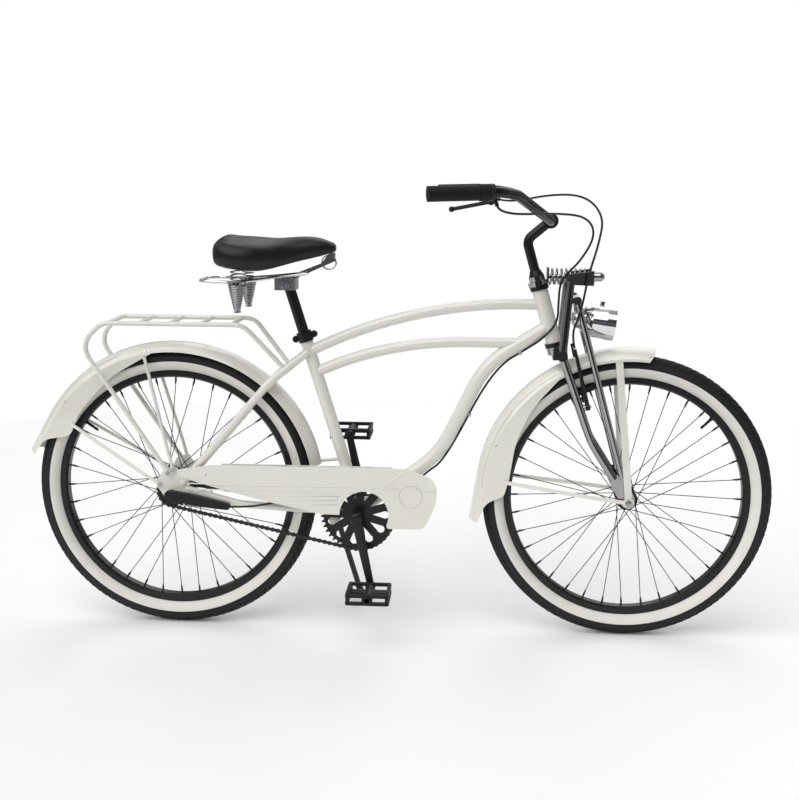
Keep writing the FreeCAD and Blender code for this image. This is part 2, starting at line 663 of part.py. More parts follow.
def belt_face(y, offset):
    """The chain's loop, offset from its pitch line, as a face at this y."""
    def spot(x, z, r, a):
        return at(x + r * math.cos(a), y, z + r * math.sin(a))

    small = SPROCKET_PITCH_R + offset
    large = RING_PITCH_R + offset
    far = UP_TURN + (LOW_TURN + 2.0 * math.pi - UP_TURN) / 2.0
    near = far - math.pi
    a = spot(0, AXLE_Z, small, UP_TURN)
    b = spot(0, AXLE_Z, small, LOW_TURN)
    c = spot(BB_X, BB_Z, large, UP_TURN)
    d = spot(BB_X, BB_Z, large, LOW_TURN)
    edges = [Part.LineSegment(a, c).toShape(), Part.Arc(c, spot(BB_X, BB_Z, large, near), d).toShape(),
             Part.LineSegment(d, b).toShape(), Part.Arc(b, spot(0, AXLE_Z, small, far), a).toShape()]
    return Part.Face(Part.Wire(edges))


def roller_spots():
    """Roller centres: the two wheels and the upper run in step, the lower run evenly spaced."""
    def spot(x, z, r, a):
        return (x + r * math.cos(a), z + r * math.sin(a))

    start = spot(0, AXLE_Z, SPROCKET_PITCH_R, UP_TURN)
    way = (math.sin(UP_TURN), -math.cos(UP_TURN))
    spots = []
    for k in range(int(CHAIN_RUN / CHAIN_PITCH) + 1):
        spots.append((start[0] + way[0] * CHAIN_PITCH * k, start[1] + way[1] * CHAIN_PITCH * k))
    ring_last = int((RING_PHASE - LOW_TURN) / RING_STEP)
    spots += [spot(BB_X, BB_Z, RING_PITCH_R, RING_PHASE - RING_STEP * k) for k in range(ring_last + 1)]
    rear_last = int((LOW_TURN + 2.0 * math.pi - UP_TURN) / SPROCKET_STEP)
    rear = [spot(0, AXLE_Z, SPROCKET_PITCH_R, UP_TURN + SPROCKET_STEP * k) for k in range(1, rear_last + 1)]
    lead = (RING_PHASE - RING_STEP * ring_last - LOW_TURN) * RING_PITCH_R
    tail = (LOW_TURN + 2.0 * math.pi - UP_TURN - SPROCKET_STEP * rear_last) * SPROCKET_PITCH_R
    rear_arc = SPROCKET_STEP * SPROCKET_PITCH_R
    low = spot(BB_X, BB_Z, RING_PITCH_R, LOW_TURN)
    back = (math.sin(LOW_TURN), -math.cos(LOW_TURN))
    total = lead + CHAIN_RUN + tail
    steps = [CHAIN_PITCH, 2.0 * CHAIN_PITCH]
    middle = total - 4.0 * CHAIN_PITCH
    count = round(middle / CHAIN_PITCH)
    steps += [2.0 * CHAIN_PITCH + middle * k / count for k in range(1, count)]
    steps += [total - CHAIN_PITCH - rear_arc, total - rear_arc]
    for along in steps:
        spots.append((low[0] + back[0] * (along - lead), low[1] + back[1] * (along - lead)))
    return spots + rear


def chain():
    """Two side bands and the rollers between them."""
    pieces = []
    for y0, y1 in ((BAND_Y[0], BAND_Y[1]), (-BAND_Y[0], -BAND_Y[1])):
        band = belt_face(CHAIN_Y + y0, BAND_HALF).cut(belt_face(CHAIN_Y + y0, -BAND_HALF))
        pieces.append(band.Faces[0].extrude(Vector(0, y1 - y0, 0)))
    for x, z in roller_spots():
        pieces.append(rod_y(x, z, CHAIN_Y - BAND_Y[0], CHAIN_Y + BAND_Y[0], ROLLER_R))
    return Part.makeCompound(pieces)


PEDAL_CAP = 2.6
PEDAL_HALF_X = 50.0
PEDAL_HALF_Z = 13.0
PEDAL_IN = 96.0
PEDAL_FIT = 0.06


def pedal_spot(side):
    """Where a pedal's axle stands in x and z; side is -1 on the right."""
    reach = -side * CRANK_LENGTH
    return (BB_X + reach * math.sin(math.radians(CRANK_ANGLE)), BB_Z - reach * math.cos(math.radians(CRANK_ANGLE)))


def crank():
    """The one-piece crank: spindle, two tapered arms and the pedal axles."""
    pieces = [rod_y(BB_X, BB_Z, -ARM_OUT, ARM_OUT, SPINDLE_R)]
    for side in (-1, 1):
        x, z = pedal_spot(side)
        y0, y1 = side * ARM_IN, side * ARM_OUT
        across = Vector(math.cos(math.radians(CRANK_ANGLE)), 0, math.sin(math.radians(CRANK_ANGLE)))
        arm = [(BB_X + across.x * 12.5, BB_Z + across.z * 12.5), (x + across.x * 9, z + across.z * 9),
               (x - across.x * 9, z - across.z * 9), (BB_X - across.x * 12.5, BB_Z - across.z * 12.5)]
        pieces += [plate(arm, y0, y1), rod_y(BB_X, BB_Z, y0, y1, 17.0), rod_y(x, z, y0, y1, 13.0)]
        pieces.append(rod_y(x, z, y1, side * PEDAL_END, PEDAL_AXLE_R))
        pieces.append(rod_y(x, z, side * (PEDAL_END - PEDAL_CAP), side * PEDAL_END, PEDAL_AXLE_R + 3.0))
    return join(pieces)


def pedal(side):
    """A block pedal with two windows, bored for its axle."""
    x, z = pedal_spot(side)
    y0 = side * PEDAL_IN
    y1 = side * (PEDAL_END - PEDAL_CAP - SIDE)
    low, high = min(y0, y1), max(y0, y1)
    outline = [(x - PEDAL_HALF_X, z - PEDAL_HALF_Z), (x + PEDAL_HALF_X, z - PEDAL_HALF_Z),
               (x + PEDAL_HALF_X, z + PEDAL_HALF_Z), (x - PEDAL_HALF_X, z + PEDAL_HALF_Z)]
    body = plate(outline, low, high, 5.0)
    windows = []
    for way in (-1, 1):
        near, far = sorted((x + way * 14.0, x + way * 40.0))
        windows.append(block(near, far, low + 12.0, high - 12.0, z - 20.0, z + 20.0))
    return body.cut(windows + [rod_y(x, z, low, high, PEDAL_AXLE_R + PEDAL_FIT)])


STAND_LENGTH = 287.0
STAND_R = 7.0


def kickstand():
    """The stand's leg with its pivot boss and foot."""
    foot = STAND_PIVOT + STAND_DOWN * STAND_LENGTH
    boss_low = STAND_PIVOT - STAND_AXIS * STAND_BOSS_HALF
    boss_high = STAND_PIVOT + STAND_AXIS * STAND_BOSS_HALF
    leg = join([rod(boss_low, boss_high, 11.0), rod(STAND_PIVOT, foot, STAND_R),
                rod(foot - STAND_DOWN * 26.0, foot, STAND_R + 2.0)])
    return leg.cut(rod(boss_low - STAND_AXIS, boss_high + STAND_AXIS, STAND_PIN_R + RUN))


# Wound springs
SPRING_GAPS = []
GAP_POINTS = 48


def arc_middle(a, tangent, b):
    """The middle of the arc that leaves a along the tangent and ends at b."""
    chord = b - a
    along = chord * (1.0 / chord.Length)
    across = tangent - along * tangent.dot(along)
    if across.Length < 1e-6:
        return None
    theta = tangent.getAngle(along)
    return (a + b) * 0.5 + across.normalize() * (chord.Length / 2.0 * math.tan(theta / 2.0))


def biarc(p, t, q, s):
    """Two arcs from p along t to q along s, tangent where they meet."""
    v = q - p
    a = 2.0 * (1.0 - t.dot(s))
    b = 2.0 * v.dot(t + s)
    c = -v.dot(v)
    d = -c / b if a < 1e-9 else (-b + math.sqrt(b * b - 4.0 * a * c)) / (2.0 * a)
    joint = (p + t * d + q - s * d) * 0.5
    edges = []
    for start, tangent, end in ((p, t, joint), (q, s * -1.0, joint)):
        middle = arc_middle(start, tangent, end)
        if middle is None:
            edges.append(Part.LineSegment(start, end).toShape())
        else:
            edges.append(Part.Arc(start, middle, end).toShape())
    return edges


def least_gap(path, turns, wire_r):
    """The least space between two turns of a wire, measured on points along its middle."""
    count = int(turns * GAP_POINTS)
    points = path.discretize(Number=count)
    half_turn = GAP_POINTS // 2
    nearest = min((points[i] - points[j]).Length for i in range(count) for j in range(i + half_turn, count))
    return nearest - 2.0 * wire_r


def spring(foot, axis, side, length, radii, turns, wire_r, rise):
    """One unbroken wire: a straight end square to each seat, and the winding between them."""
    other = axis.cross(side)
    first = 2.0 * wire_r + rise
    winding = length - 2.0 * first
    quarters = int(round(turns * 4)) - 2

    def node(k):
        share = k / quarters
        radius = radii[0] + (radii[1] - radii[0]) * share
        a = math.pi / 2.0 * (k + 1)
        out = side * math.cos(a) + other * math.sin(a)
        round_way = other * math.cos(a) - side * math.sin(a)
        swell = (radii[1] - radii[0]) / quarters / (math.pi / 2.0)
        climb = winding / quarters / (math.pi / 2.0)
        tangent = round_way * radius + out * swell + axis * climb
        return foot + axis * (first + winding * share) + out * radius, tangent.normalize()

    low = foot + side * radii[0]
    a_end = math.pi / 2.0 * (quarters + 2)
    end_out = side * math.cos(a_end) + other * math.sin(a_end)
    high = foot + axis * length + end_out * radii[1]
    stub = axis * (2.0 * wire_r)
    stations = [(low + stub, axis)] + [node(k) for k in range(quarters + 1)] + [(high - stub, axis)]
    edges = [Part.LineSegment(low, low + stub).toShape()]
    for (p, t), (q, s) in zip(stations, stations[1:]):
        edges += biarc(p, t, q, s)
    edges.append(Part.LineSegment(high - stub, high).toShape())
    path = Part.Wire(Part.__sortEdges__(edges))
    SPRING_GAPS.append(least_gap(path, turns, wire_r))
    section = Part.Wire(Part.Circle(low, axis, wire_r).toShape())
    return path.makePipeShell([section], True, False)


# Fork, steering and springer
PIVOT = (904.0, 673.0)
PIVOT_R = 4.0
LEG_Y = 52.0
LEG_R = 9.5
LEG_IN = LEG_Y - LEG_R
CAP_OVER = 1.0
LEG = [(918, 842), (904, 672), (975, 475), (1030, 388)]
LEG_BENDS = [0.0, 120.0, 200.0, 0.0]
TRUSS_R = 7.5
TRUSS = [(934, 799), (1049, 390)]
YOKE_PIVOT = (922.0, 846.0)
YOKE_OUT = 41.5
YOKE_IN = 37.0
YOKE_WALL = (966.0, 970.5)
SPRING_Z = 848.5
SPRING_R = 17.5
SPRING_WIRE_R = 2.5
TAB_X = (866.0, 871.0)
BOLT_R = 5.0
RING_HEIGHT = 10.0
STEERER_TOP = 32.0
QUILL_R = 11.1
BAR_R = 11.1
CROWN_HALF = 41.5
BRAKE_PIVOT = (965.0, 556.0)
BRAKE_PIN = Vector(0.970, 0, 0.2425).normalize()
BRAKE_UP = Vector(-0.2425, 0, 0.970).normalize()
BRAKE_Y = 50.0
PAD_IN = 17.7


def leg_solid():
    return bent([at(x, LEG_Y, z) for x, z in LEG], LEG_BENDS, LEG_R)


def front_plate():
    x = WHEELBASE
    outline = [(1018, 384), (1034, 398), (1053, 398), (x + 14, 346), (x + 14, 324), (x - 12, 323), (1040, 345)]
    return plate(outline, FRONT_DROP_IN, FRONT_DROP_IN + DROP_THICK, 5.0)


def fork_crown():
    """The steerer with its top nut, the crown below the head tube and the springer's pivot pins."""
    top = HEAD_HIGH - HEAD_DIR * STEERER_TOP
    race = HEAD_LOW + HEAD_DIR * (CUP_HEIGHT + SIDE)
    nut = HEAD_HIGH - HEAD_DIR * (CUP_HEIGHT + SIDE + RING_HEIGHT + SEAT)
    x, z = PIVOT
    pieces = [rod(race, top, STEERER_R), rod(race, race + HEAD_DIR * 16.0, 20.0), rod(nut, top, 18.0)]
    pieces.append(block(884.0, 916.0, -CROWN_HALF, CROWN_HALF, 661.0, 683.0))
    reach = LEG_Y + LEG_R + 1.0
    pieces.append(rod_y(x, z, -reach - 4.0, reach + 4.0, PIVOT_R))
    for side in (-1, 1):
        pieces.append(rod_y(x, z, side * (reach + SIDE), side * (reach + 4.0), PIVOT_R + 3.0))
    return join(pieces).cut(rod(HEAD_LOW, top, QUILL_R + RUN))


def fork_legs():
    """The rear legs with pivot bosses, yoke stubs, axle plates and brake studs."""
    leg = leg_solid()
    x, z = PIVOT
    boss = rod_y(x, z, CROWN_HALF + SIDE, LEG_Y + LEG_R + CAP_OVER, 12.0)
    stub = join([rod_y(YOKE_PIVOT[0], YOKE_PIVOT[1], YOKE_OUT + SIDE, LEG_Y + LEG_R + CAP_OVER, 9.0),
                 rod_y(YOKE_PIVOT[0], YOKE_PIVOT[1], YOKE_IN, LEG_Y, PIVOT_R)])
    drop = front_plate().cut(rod_y(WHEELBASE, AXLE_Z, FRONT_DROP_IN, FRONT_DROP_IN + DROP_THICK, AXLE_R + RUN))
    brake = at(BRAKE_PIVOT[0], BRAKE_Y, BRAKE_PIVOT[1])
    stud = join([rod(brake - BRAKE_PIN * 22.0, brake + BRAKE_PIN * 8.0, PIVOT_R),
                 rod(brake - BRAKE_PIN * 22.0, brake - BRAKE_PIN * (5.0 + SIDE), 7.0)])
    side = join([leg, boss, stub, drop, stud]).cut(rod_y(x, z, CROWN_HALF, 70.0, PIVOT_R + RUN))
    return pair(side)


def truss_legs():
    """The straight front legs, forked over the axle plates, with the bar that ties their tops."""
    leg = rod(at(TRUSS[0][0], LEG_Y, TRUSS[0][1]), at(TRUSS[1][0], LEG_Y, TRUSS[1][1]), TRUSS_R)
    leg = leg.cut(front_plate())
    bar = block(916.0, 942.0, -LEG_Y - 6.0, LEG_Y + 6.0, 793.0, 805.0)
    cap = rod_y(TRUSS[0][0], TRUSS[0][1], LEG_Y - TRUSS_R - CAP_OVER, LEG_Y + TRUSS_R + CAP_OVER, TRUSS_R + 1.5)
    whole = join([leg, mirrored(leg), bar, cap, mirrored(cap)])
    rear = leg_solid()
    return whole.cut([rear, mirrored(rear)])


def spring_yoke():
    """The U-shaped yoke that carries the leg tops' push to the front of the spring."""
    x0, x1 = YOKE_WALL
    px, pz = YOKE_PIVOT
    cheek = plate([(px - 13, 833), (px - 13, 856), (x1, 864), (x1, 831)], YOKE_IN, YOKE_OUT, 3.0)
    wall = block(x0, x1, -YOKE_OUT, YOKE_OUT, 831.0, 864.0)
    holes = [rod_y(px, pz, -50.0, 50.0, PIVOT_R + RUN)]
    holes.append(rod(at(x0 - 1.0, 0, SPRING_Z), at(x1 + 1.0, 0, SPRING_Z), BOLT_R + 2.5))
    return join([wall, cheek, mirrored(cheek)]).cut(holes)


def spring_bolt():
    """The ring on the steerer, its tab, the long bolt, the rubber washer and the dome nut."""
    low = HEAD_HIGH - HEAD_DIR * (CUP_HEIGHT + SIDE)
    ring = rod(low, low - HEAD_DIR * RING_HEIGHT, 23.0)
    tab = block(TAB_X[0], TAB_X[1], -22.0, 22.0, 835.0, 870.0)
    nut_x = YOKE_WALL[1] + SIDE + 4.0
    pieces = [ring, tab, rod(at(TAB_X[0], 0, SPRING_Z), at(nut_x + 20.0, 0, SPRING_Z), BOLT_R)]
    pieces.append(rod(at(YOKE_WALL[1] + SIDE, 0, SPRING_Z), at(nut_x, 0, SPRING_Z), 14.0))
    pieces.append(rod(at(nut_x, 0, SPRING_Z), at(nut_x + 12.0, 0, SPRING_Z), 11.0))
    pieces.append(Part.makeSphere(11.0, at(nut_x + 12.0, 0, SPRING_Z)))
    return join(pieces).cut(rod(low + HEAD_DIR, low - HEAD_DIR * 12.0, STEERER_R + RUN))


def fork_spring():
    length = YOKE_WALL[0] - TAB_X[1] - 2.0 * RUN
    foot = at(TAB_X[1] + RUN, 0, SPRING_Z)
    return spring(foot, Vector(1, 0, 0), AXIS_Y, length, (SPRING_R, SPRING_R), 8.5, SPRING_WIRE_R, 8.0)


STEM_KNEE_Z = 930.0
BAR_CLAMP = (872.0, 974.0)


def stem():
    """The quill, its cone on the steerer's nut, the knee and the bar clamp."""
    knee = head_axis(STEM_KNEE_Z)
    clamp = at(BAR_CLAMP[0], 0, BAR_CLAMP[1])
    neck = bent([head_axis(785.0), knee, clamp], 22.0, QUILL_R)
    low = HEAD_HIGH - HEAD_DIR * (STEERER_TOP + SEAT)
    cone = Part.makeCone(17.0, 12.0, 14.0, low, HEAD_DIR * -1.0)
    hold = rod_y(BAR_CLAMP[0], BAR_CLAMP[1], -20.0, 20.0, 17.0)
    return join([neck, cone, hold]).cut(rod_y(BAR_CLAMP[0], BAR_CLAMP[1], -25.0, 25.0, BAR_R + RUN))


BAR_END = Vector(610.0, 318.0, 1036.0)
BAR_TURN = Vector(756.0, 283.0, 1040.0)
BAR_HALF = [(BAR_CLAMP[0], 40.0, BAR_CLAMP[1]), (790.0, 240.0, 1034.0), (BAR_TURN.x, BAR_TURN.y, BAR_TURN.z),
            (BAR_END.x, BAR_END.y, BAR_END.z)]
BAR_BENDS = [50.0, 60.0, 40.0, 0.0]
GRIP_DIR = (BAR_END - BAR_TURN).normalize()
GRIP_LENGTH = 104.0
GRIP_R = 16.0
TWIST_LENGTH = 21.5
HOUSING_LENGTH = 9.0


def bar_point(back, side):
    """A point on the bar's straight end, this far in from its tip; side is 1 on the left."""
    spot = BAR_END - GRIP_DIR * back
    return at(spot.x, side * spot.y, spot.z)


def bar_solid(radius):
    left = [at(x, y, z) for x, y, z in BAR_HALF]
    right = [at(x, -y, z) for x, y, z in reversed(BAR_HALF)]
    return bent(right + left, list(reversed(BAR_BENDS)) + BAR_BENDS, radius)


def handlebar():
    return bar_solid(BAR_R)


def grips():
    grip = rod(bar_point(GRIP_LENGTH, 1), bar_point(-3.0, 1), GRIP_R)
    grip = grip.cut(rod(bar_point(GRIP_LENGTH + 1.0, 1), bar_point(-RUN, 1), BAR_R + RUN))
    return pair(grip)


def shifter_ring():
    near = bar_point(GRIP_LENGTH + SIDE, -1)
    far = bar_point(GRIP_LENGTH + SIDE + TWIST_LENGTH, -1)
    return sleeve(near, far, GRIP_R + 1.5, BAR_R + RUN)


HOUSING_BACK = GRIP_LENGTH + 2.0 * SIDE + TWIST_LENGTH
HOUSING_MIDDLE = bar_point(HOUSING_BACK + HOUSING_LENGTH / 2.0, -1)
CABLE_NOSE = at(748, -287, 1012)
CABLE_NOSE_DIR = (CABLE_NOSE - HOUSING_MIDDLE).normalize()


def shifter_housing():
    near = bar_point(HOUSING_BACK, -1)
    far = bar_point(HOUSING_BACK + HOUSING_LENGTH, -1)
    body = join([rod(near, far, GRIP_R + 1.5), rod(HOUSING_MIDDLE, CABLE_NOSE, 4.2)])
    return body.cut(bar_solid(BAR_R + RUN))


LEVER_PIVOT = at(740, 292, 1010)
LEVER_TIP = at(640, 318, 990)
LEVER_DIR = (LEVER_TIP - LEVER_PIVOT).normalize()
LEVER_AXIS = LEVER_DIR.cross(Vector(0, -0.152, 0.988)).normalize()
LEVER_PIN_R = 3.0
LEVER_INNER = LEVER_PIVOT - LEVER_AXIS * 19.0
BRACKET_MIDDLE = bar_point(GRIP_LENGTH + 16.0, 1)
BRACKET_HALF = 10.0
NOSE_START = (BRACKET_MIDDLE + LEVER_INNER) * 0.5
BRAKE_NOSE = at(760, 272, 1016)
BRAKE_NOSE_DIR = (BRAKE_NOSE - NOSE_START).normalize()


def lever_bracket():
    """The clamp on the left bar end with the lever's pin and the cable's nose."""
    near = bar_point(GRIP_LENGTH + 16.0 - BRACKET_HALF, 1)
    far = bar_point(GRIP_LENGTH + 16.0 + BRACKET_HALF, 1)
    body = join([rod(near, far, 14.0), rod(BRACKET_MIDDLE, LEVER_INNER, 5.0), Part.makeSphere(5.0, LEVER_INNER),
                 rod(LEVER_INNER, LEVER_PIVOT + LEVER_AXIS * 9.0, LEVER_PIN_R),
                 rod(NOSE_START, BRAKE_NOSE, 4.5)])
    return body.cut(bar_solid(BAR_R + RUN))


def brake_lever():
    boss_in = LEVER_PIVOT - LEVER_AXIS * 7.0
    boss_out = LEVER_PIVOT + LEVER_AXIS * 7.0
    blade = join([rod(boss_in, boss_out, 8.0), rod(LEVER_PIVOT, LEVER_TIP, 5.0), Part.makeSphere(7.5, LEVER_TIP)])
    return blade.cut(rod(boss_in - LEVER_AXIS, boss_out + LEVER_AXIS, LEVER_PIN_R + RUN))


def brake_arm():
    """The left brake arm: pivot boss, upright arm and the pad beside the rim."""
    pivot = at(BRAKE_PIVOT[0], BRAKE_Y, BRAKE_PIVOT[1])
    boss = rod(pivot - BRAKE_PIN * 5.0, pivot + BRAKE_PIN * 5.0, 8.0)
    top = BRAKE_UP * 136.0
    wide = BRAKE_PIN * 5.0
    flat = [pivot - wide, pivot + wide, pivot + wide * 0.7 + top, pivot - wide * 0.7 + top]
    shift = Vector(0, -4.0, 0)
    arm = Part.Face(Part.makePolygon([p + shift for p in flat + flat[:1]])).extrude(Vector(0, 8.0, 0))
    hold = pivot + BRAKE_UP * 33.0
    out = Vector(hold.x - at(WHEELBASE, 0, 0).x, 0, hold.z - AXLE_Z).normalize()
    along = Vector(-out.z, 0, out.x)
    face = hold + Vector(0, PAD_IN - hold.y, 0)
    corners = [face + along * (25.0 * i) + out * (6.0 * j) for i, j in ((-1, -1), (1, -1), (1, 1), (-1, 1))]
    pad = Part.Face(Part.makePolygon(corners + corners[:1])).extrude(Vector(0, 9.0, 0))
    stem_rod = rod(face + Vector(0, 8.0, 0), hold, 4.0)
    return join([boss, arm, pad, stem_rod]).cut(rod(pivot - BRAKE_PIN * 9.0, pivot + BRAKE_PIN * 9.0, PIVOT_R + RUN))


# Front axle, fender, stays and lamp
WASHER = 3.0
EYELET = 3.0
EYELET_R = 13.0
FRONT_STUB = 18.0
FRONT_STAYS = [(1033.6, 662.0), (782.0, 372.0)]
LAMP = at(946, 0, 752)
LAMP_TILT = math.radians(8.0)
LAMP_DIR = Vector(math.cos(LAMP_TILT), 0, -math.sin(LAMP_TILT))
LAMP_UP = Vector(math.sin(LAMP_TILT), 0, math.cos(LAMP_TILT))
LAMP_OUTER = [(0, 23), (10, 30), (26, 36.5), (58, 39.5), (78, 40)]
LAMP_WALL = 2.0
LENS_BACK = 75.0
LENS_FRONT = 78.0
LENS_R = 37.8
LENS_BULGE = 3.0


def front_axle():
    """The front axle with its cones, washers and nuts."""
    x = WHEELBASE
    drop_out = FRONT_DROP_IN + DROP_THICK
    nut_in = drop_out + WASHER + 2.0 * EYELET + 2.0 * SEAT
    pieces = [rod_y(x, AXLE_Z, -nut_in - FRONT_STUB, nut_in + FRONT_STUB, AXLE_R)]
    for side in (-1, 1):
        pieces.append(rod_y(x, AXLE_Z, side * (FRONT_HUB_END + SIDE), side * FRONT_DROP_IN, CONE_R))
        pieces.append(rod_y(x, AXLE_Z, side * drop_out, side * (drop_out + WASHER), CONE_R + 1.0))
        pieces.append(hexagon(x, AXLE_Z, side * nut_in, side * (nut_in + 8.0), NUT_FLATS))
    return join(pieces)


def front_fender():
    """The front fender with a slanted front end and a spacer to each rear leg."""
    sheet = fender(WHEELBASE, FRONT_SPAN, FRONT_TAIL, FRONT_EDGE_R, FRONT_EDGE_X, FRONT_SKIRT, FRONT_SKIRT_BENDS)
    slant = plate([(1126, 690), (1092, 644), (1220, 644), (1220, 690)], -60.0, 60.0)
    sheet = sheet.cut(slant)
    spacer = rod_y(919.0, 630.0, FENDER_HALF - FENDER_WALL / 2.0, LEG_Y, 3.5).cut(leg_solid())
    return join([sheet, spacer, mirrored(spacer)])


def front_fender_stays():
    """Two flat-eyed stays on each side, from the axle to the fender's side wall."""
    x = WHEELBASE
    first = FRONT_DROP_IN + DROP_THICK + WASHER + SEAT
    pieces = []
    for k, (tip_x, tip_z) in enumerate(FRONT_STAYS):
        y0 = first + EYELET * k
        tip = at(tip_x, FENDER_HALF + FENDER_STAY_R + STAY_CLEAR, tip_z)
        hub_side = at(x, y0 + EYELET / 2.0 + 0.6, AXLE_Z)
        way = Vector(tip.x - hub_side.x, 0, tip.z - AXLE_Z).normalize()
        line = [hub_side + way * (EYELET_R - 1.5), hub_side + way * (EYELET_R + 65.0), tip]
        pieces.append(rod_y(x, AXLE_Z, y0, y0 + EYELET, EYELET_R))
        pieces.append(bent(line, STAY_BEND, FENDER_STAY_R))
    side = join(pieces).cut(rod_y(x, AXLE_Z, first, first + 2.0 * EYELET, AXLE_R + RUN))
    return pair(side)


def lamp_point(s, r):
    return LAMP + LAMP_DIR * s + LAMP_UP * r


def dome_arc(radius):
    turn = radius * math.sqrt(0.5)
    return Part.Arc(lamp_point(-radius, 0), lamp_point(-turn, turn), lamp_point(0, radius)).toShape()


def headlight_shell():
    """The bullet shell, turned about its axis, with a switch and the bracket to the tie bar."""
    inner = [(s, r - LAMP_WALL) for s, r in LAMP_OUTER[:-1]]
    seat = [(LENS_BACK - SEAT, LENS_R - 3.0), (LENS_BACK - SEAT, LENS_R + SEAT), (LENS_FRONT, LENS_R + SEAT)]
    outer = Part.makePolygon([lamp_point(s, r) for s, r in LAMP_OUTER])
    back = Part.makePolygon([lamp_point(s, r) for s, r in [LAMP_OUTER[-1]] + seat[::-1] + inner[::-1]])
    hollow = dome_arc(LAMP_OUTER[0][1] - LAMP_WALL)
    close = Part.LineSegment(lamp_point(LAMP_WALL - LAMP_OUTER[0][1], 0), lamp_point(-LAMP_OUTER[0][1], 0)).toShape()
    edges = [dome_arc(LAMP_OUTER[0][1])] + outer.Edges + back.Edges + [hollow, close]
    outline = Part.Wire(Part.__sortEdges__(edges))
    shell = Part.Face(outline).revolve(LAMP, LAMP_DIR, 360)
    switch = rod(lamp_point(44.0, 37.6), lamp_point(44.0, 47.0), 5.0)
    bracket = block(930.0, 941.0, -10.0, 10.0, 772.0, 793.0 - SEAT)
    return join([shell, switch, bracket])


def headlight_lens():
    """A disc with a domed front."""
    ball_r = (LENS_R ** 2 + LENS_BULGE ** 2) / (2.0 * LENS_BULGE)
    ball = Part.makeSphere(ball_r, lamp_point(LENS_FRONT + LENS_BULGE - ball_r, 0))
    return rod(lamp_point(LENS_BACK, 0), lamp_point(LENS_FRONT + LENS_BULGE, 0), LENS_R).common(ball)


# Seat
POST_LOW = 300.0
POST_TOP = 566.0
SADDLE = [(110, 76, 919, 876), (125, 98, 930, 868), (165, 112, 933, 862), (215, 104, 928, 859),
          (260, 70, 926.5, 868), (310, 42, 934, 881), (355, 30, 931, 892), (384, 22, 921, 899)]
SADDLE_BASE = 5.0
RAIL_R = 3.5
RAIL_Z = 842.0
SADDLE_SPRING = (165.0, 68.0)
DISC_Z = (829.0, 835.0)
CAP_Z = 767.0
BASE_AT_SPRING = 861.8


def seat_post():
    return rod(seat_axis(POST_LOW), seat_axis(POST_TOP), POST_R)


def saddle_clamp():
    """The clamp box on the post's top, with its through bolt."""
    box = block(244.0, 292.0, -27.0, 27.0, 812.0, RAIL_Z - RAIL_R - STAY_CLEAR)
    bolt = rod_y(252.0, 825.0, -34.0, 34.0, 6.0)
    return join([box, bolt]).cut(rod(seat_axis(POST_LOW), seat_axis(POST_TOP + SEAT), POST_R + RUN))


def saddle_section(x, half, top, bottom):
    """One cross-section: flat underside, drawn-in sides and a crown."""
    high = top - bottom

    def spot(y, z):
        return at(x, y, bottom + high * z)

    left = Part.Arc(spot(0.8 * half, 0), spot(half, 0.42), spot(0.86 * half, 0.8)).toShape()
    crown = Part.Arc(spot(0.86 * half, 0.8), spot(0, 1.0), spot(-0.86 * half, 0.8)).toShape()
    right = Part.Arc(spot(-0.86 * half, 0.8), spot(-half, 0.42), spot(-0.8 * half, 0)).toShape()
    under = Part.LineSegment(spot(-0.8 * half, 0), spot(0.8 * half, 0)).toShape()
    return Part.Wire([left, crown, right, under])


def saddle_body():
    return Part.makeLoft([saddle_section(*one) for one in SADDLE], True, False)


def saddle_under():
    """Everything below the line that parts the base from the cushion."""
    line = [(x, bottom + SADDLE_BASE) for x, half, top, bottom in SADDLE]
    points = [(line[0][0] - 5.0, line[0][1])] + line + [(line[-1][0] + 5.0, line[-1][1])]
    points += [(line[-1][0] + 5.0, 800.0), (line[0][0] - 5.0, 800.0)]
    return plate(points, -130.0, 130.0)


def saddle_base():
    return saddle_body().common(saddle_under())


def saddle_cushion():
    return saddle_body().cut(saddle_under())


def saddle_frame():
    """The wire frame, the nose bars, and the discs and bolts that hold the springs."""
    half = [(318.0, 20.0, RAIL_Z + 8.0), (250.0, 24.0, RAIL_Z), (165.0, 68.0, 832.0), (74.0, 58.0, 834.0)]
    points = [at(x, -y, z) for x, y, z in half] + [at(x, y, z) for x, y, z in reversed(half)]
    wire = bent(points, [0.0, 60.0, 40.0, 30.0, 30.0, 40.0, 60.0, 0.0], RAIL_R)
    x, y = SADDLE_SPRING
    hold = [Part.makeCylinder(22.0, DISC_Z[1] - DISC_Z[0], at(x, y, DISC_Z[0])),
            Part.makeCylinder(3.0, DISC_Z[0] - CAP_Z, at(x, y, CAP_Z)),
            Part.makeCylinder(8.5, 3.0, at(x, y, CAP_Z - 3.0))]
    bar = plate([(262, RAIL_Z - RAIL_R), (292, RAIL_Z - RAIL_R), (381, 878), (381, 897.8), (366, 894.3), (352, 874)],
                10.0, 12.5, 2.0)
    tie = rod_y(312.0, RAIL_Z + 8.0, -21.0, 21.0, RAIL_R)
    both = hold + [bar] + [mirrored(one) for one in hold + [bar]]
    return join([wire, tie] + both)


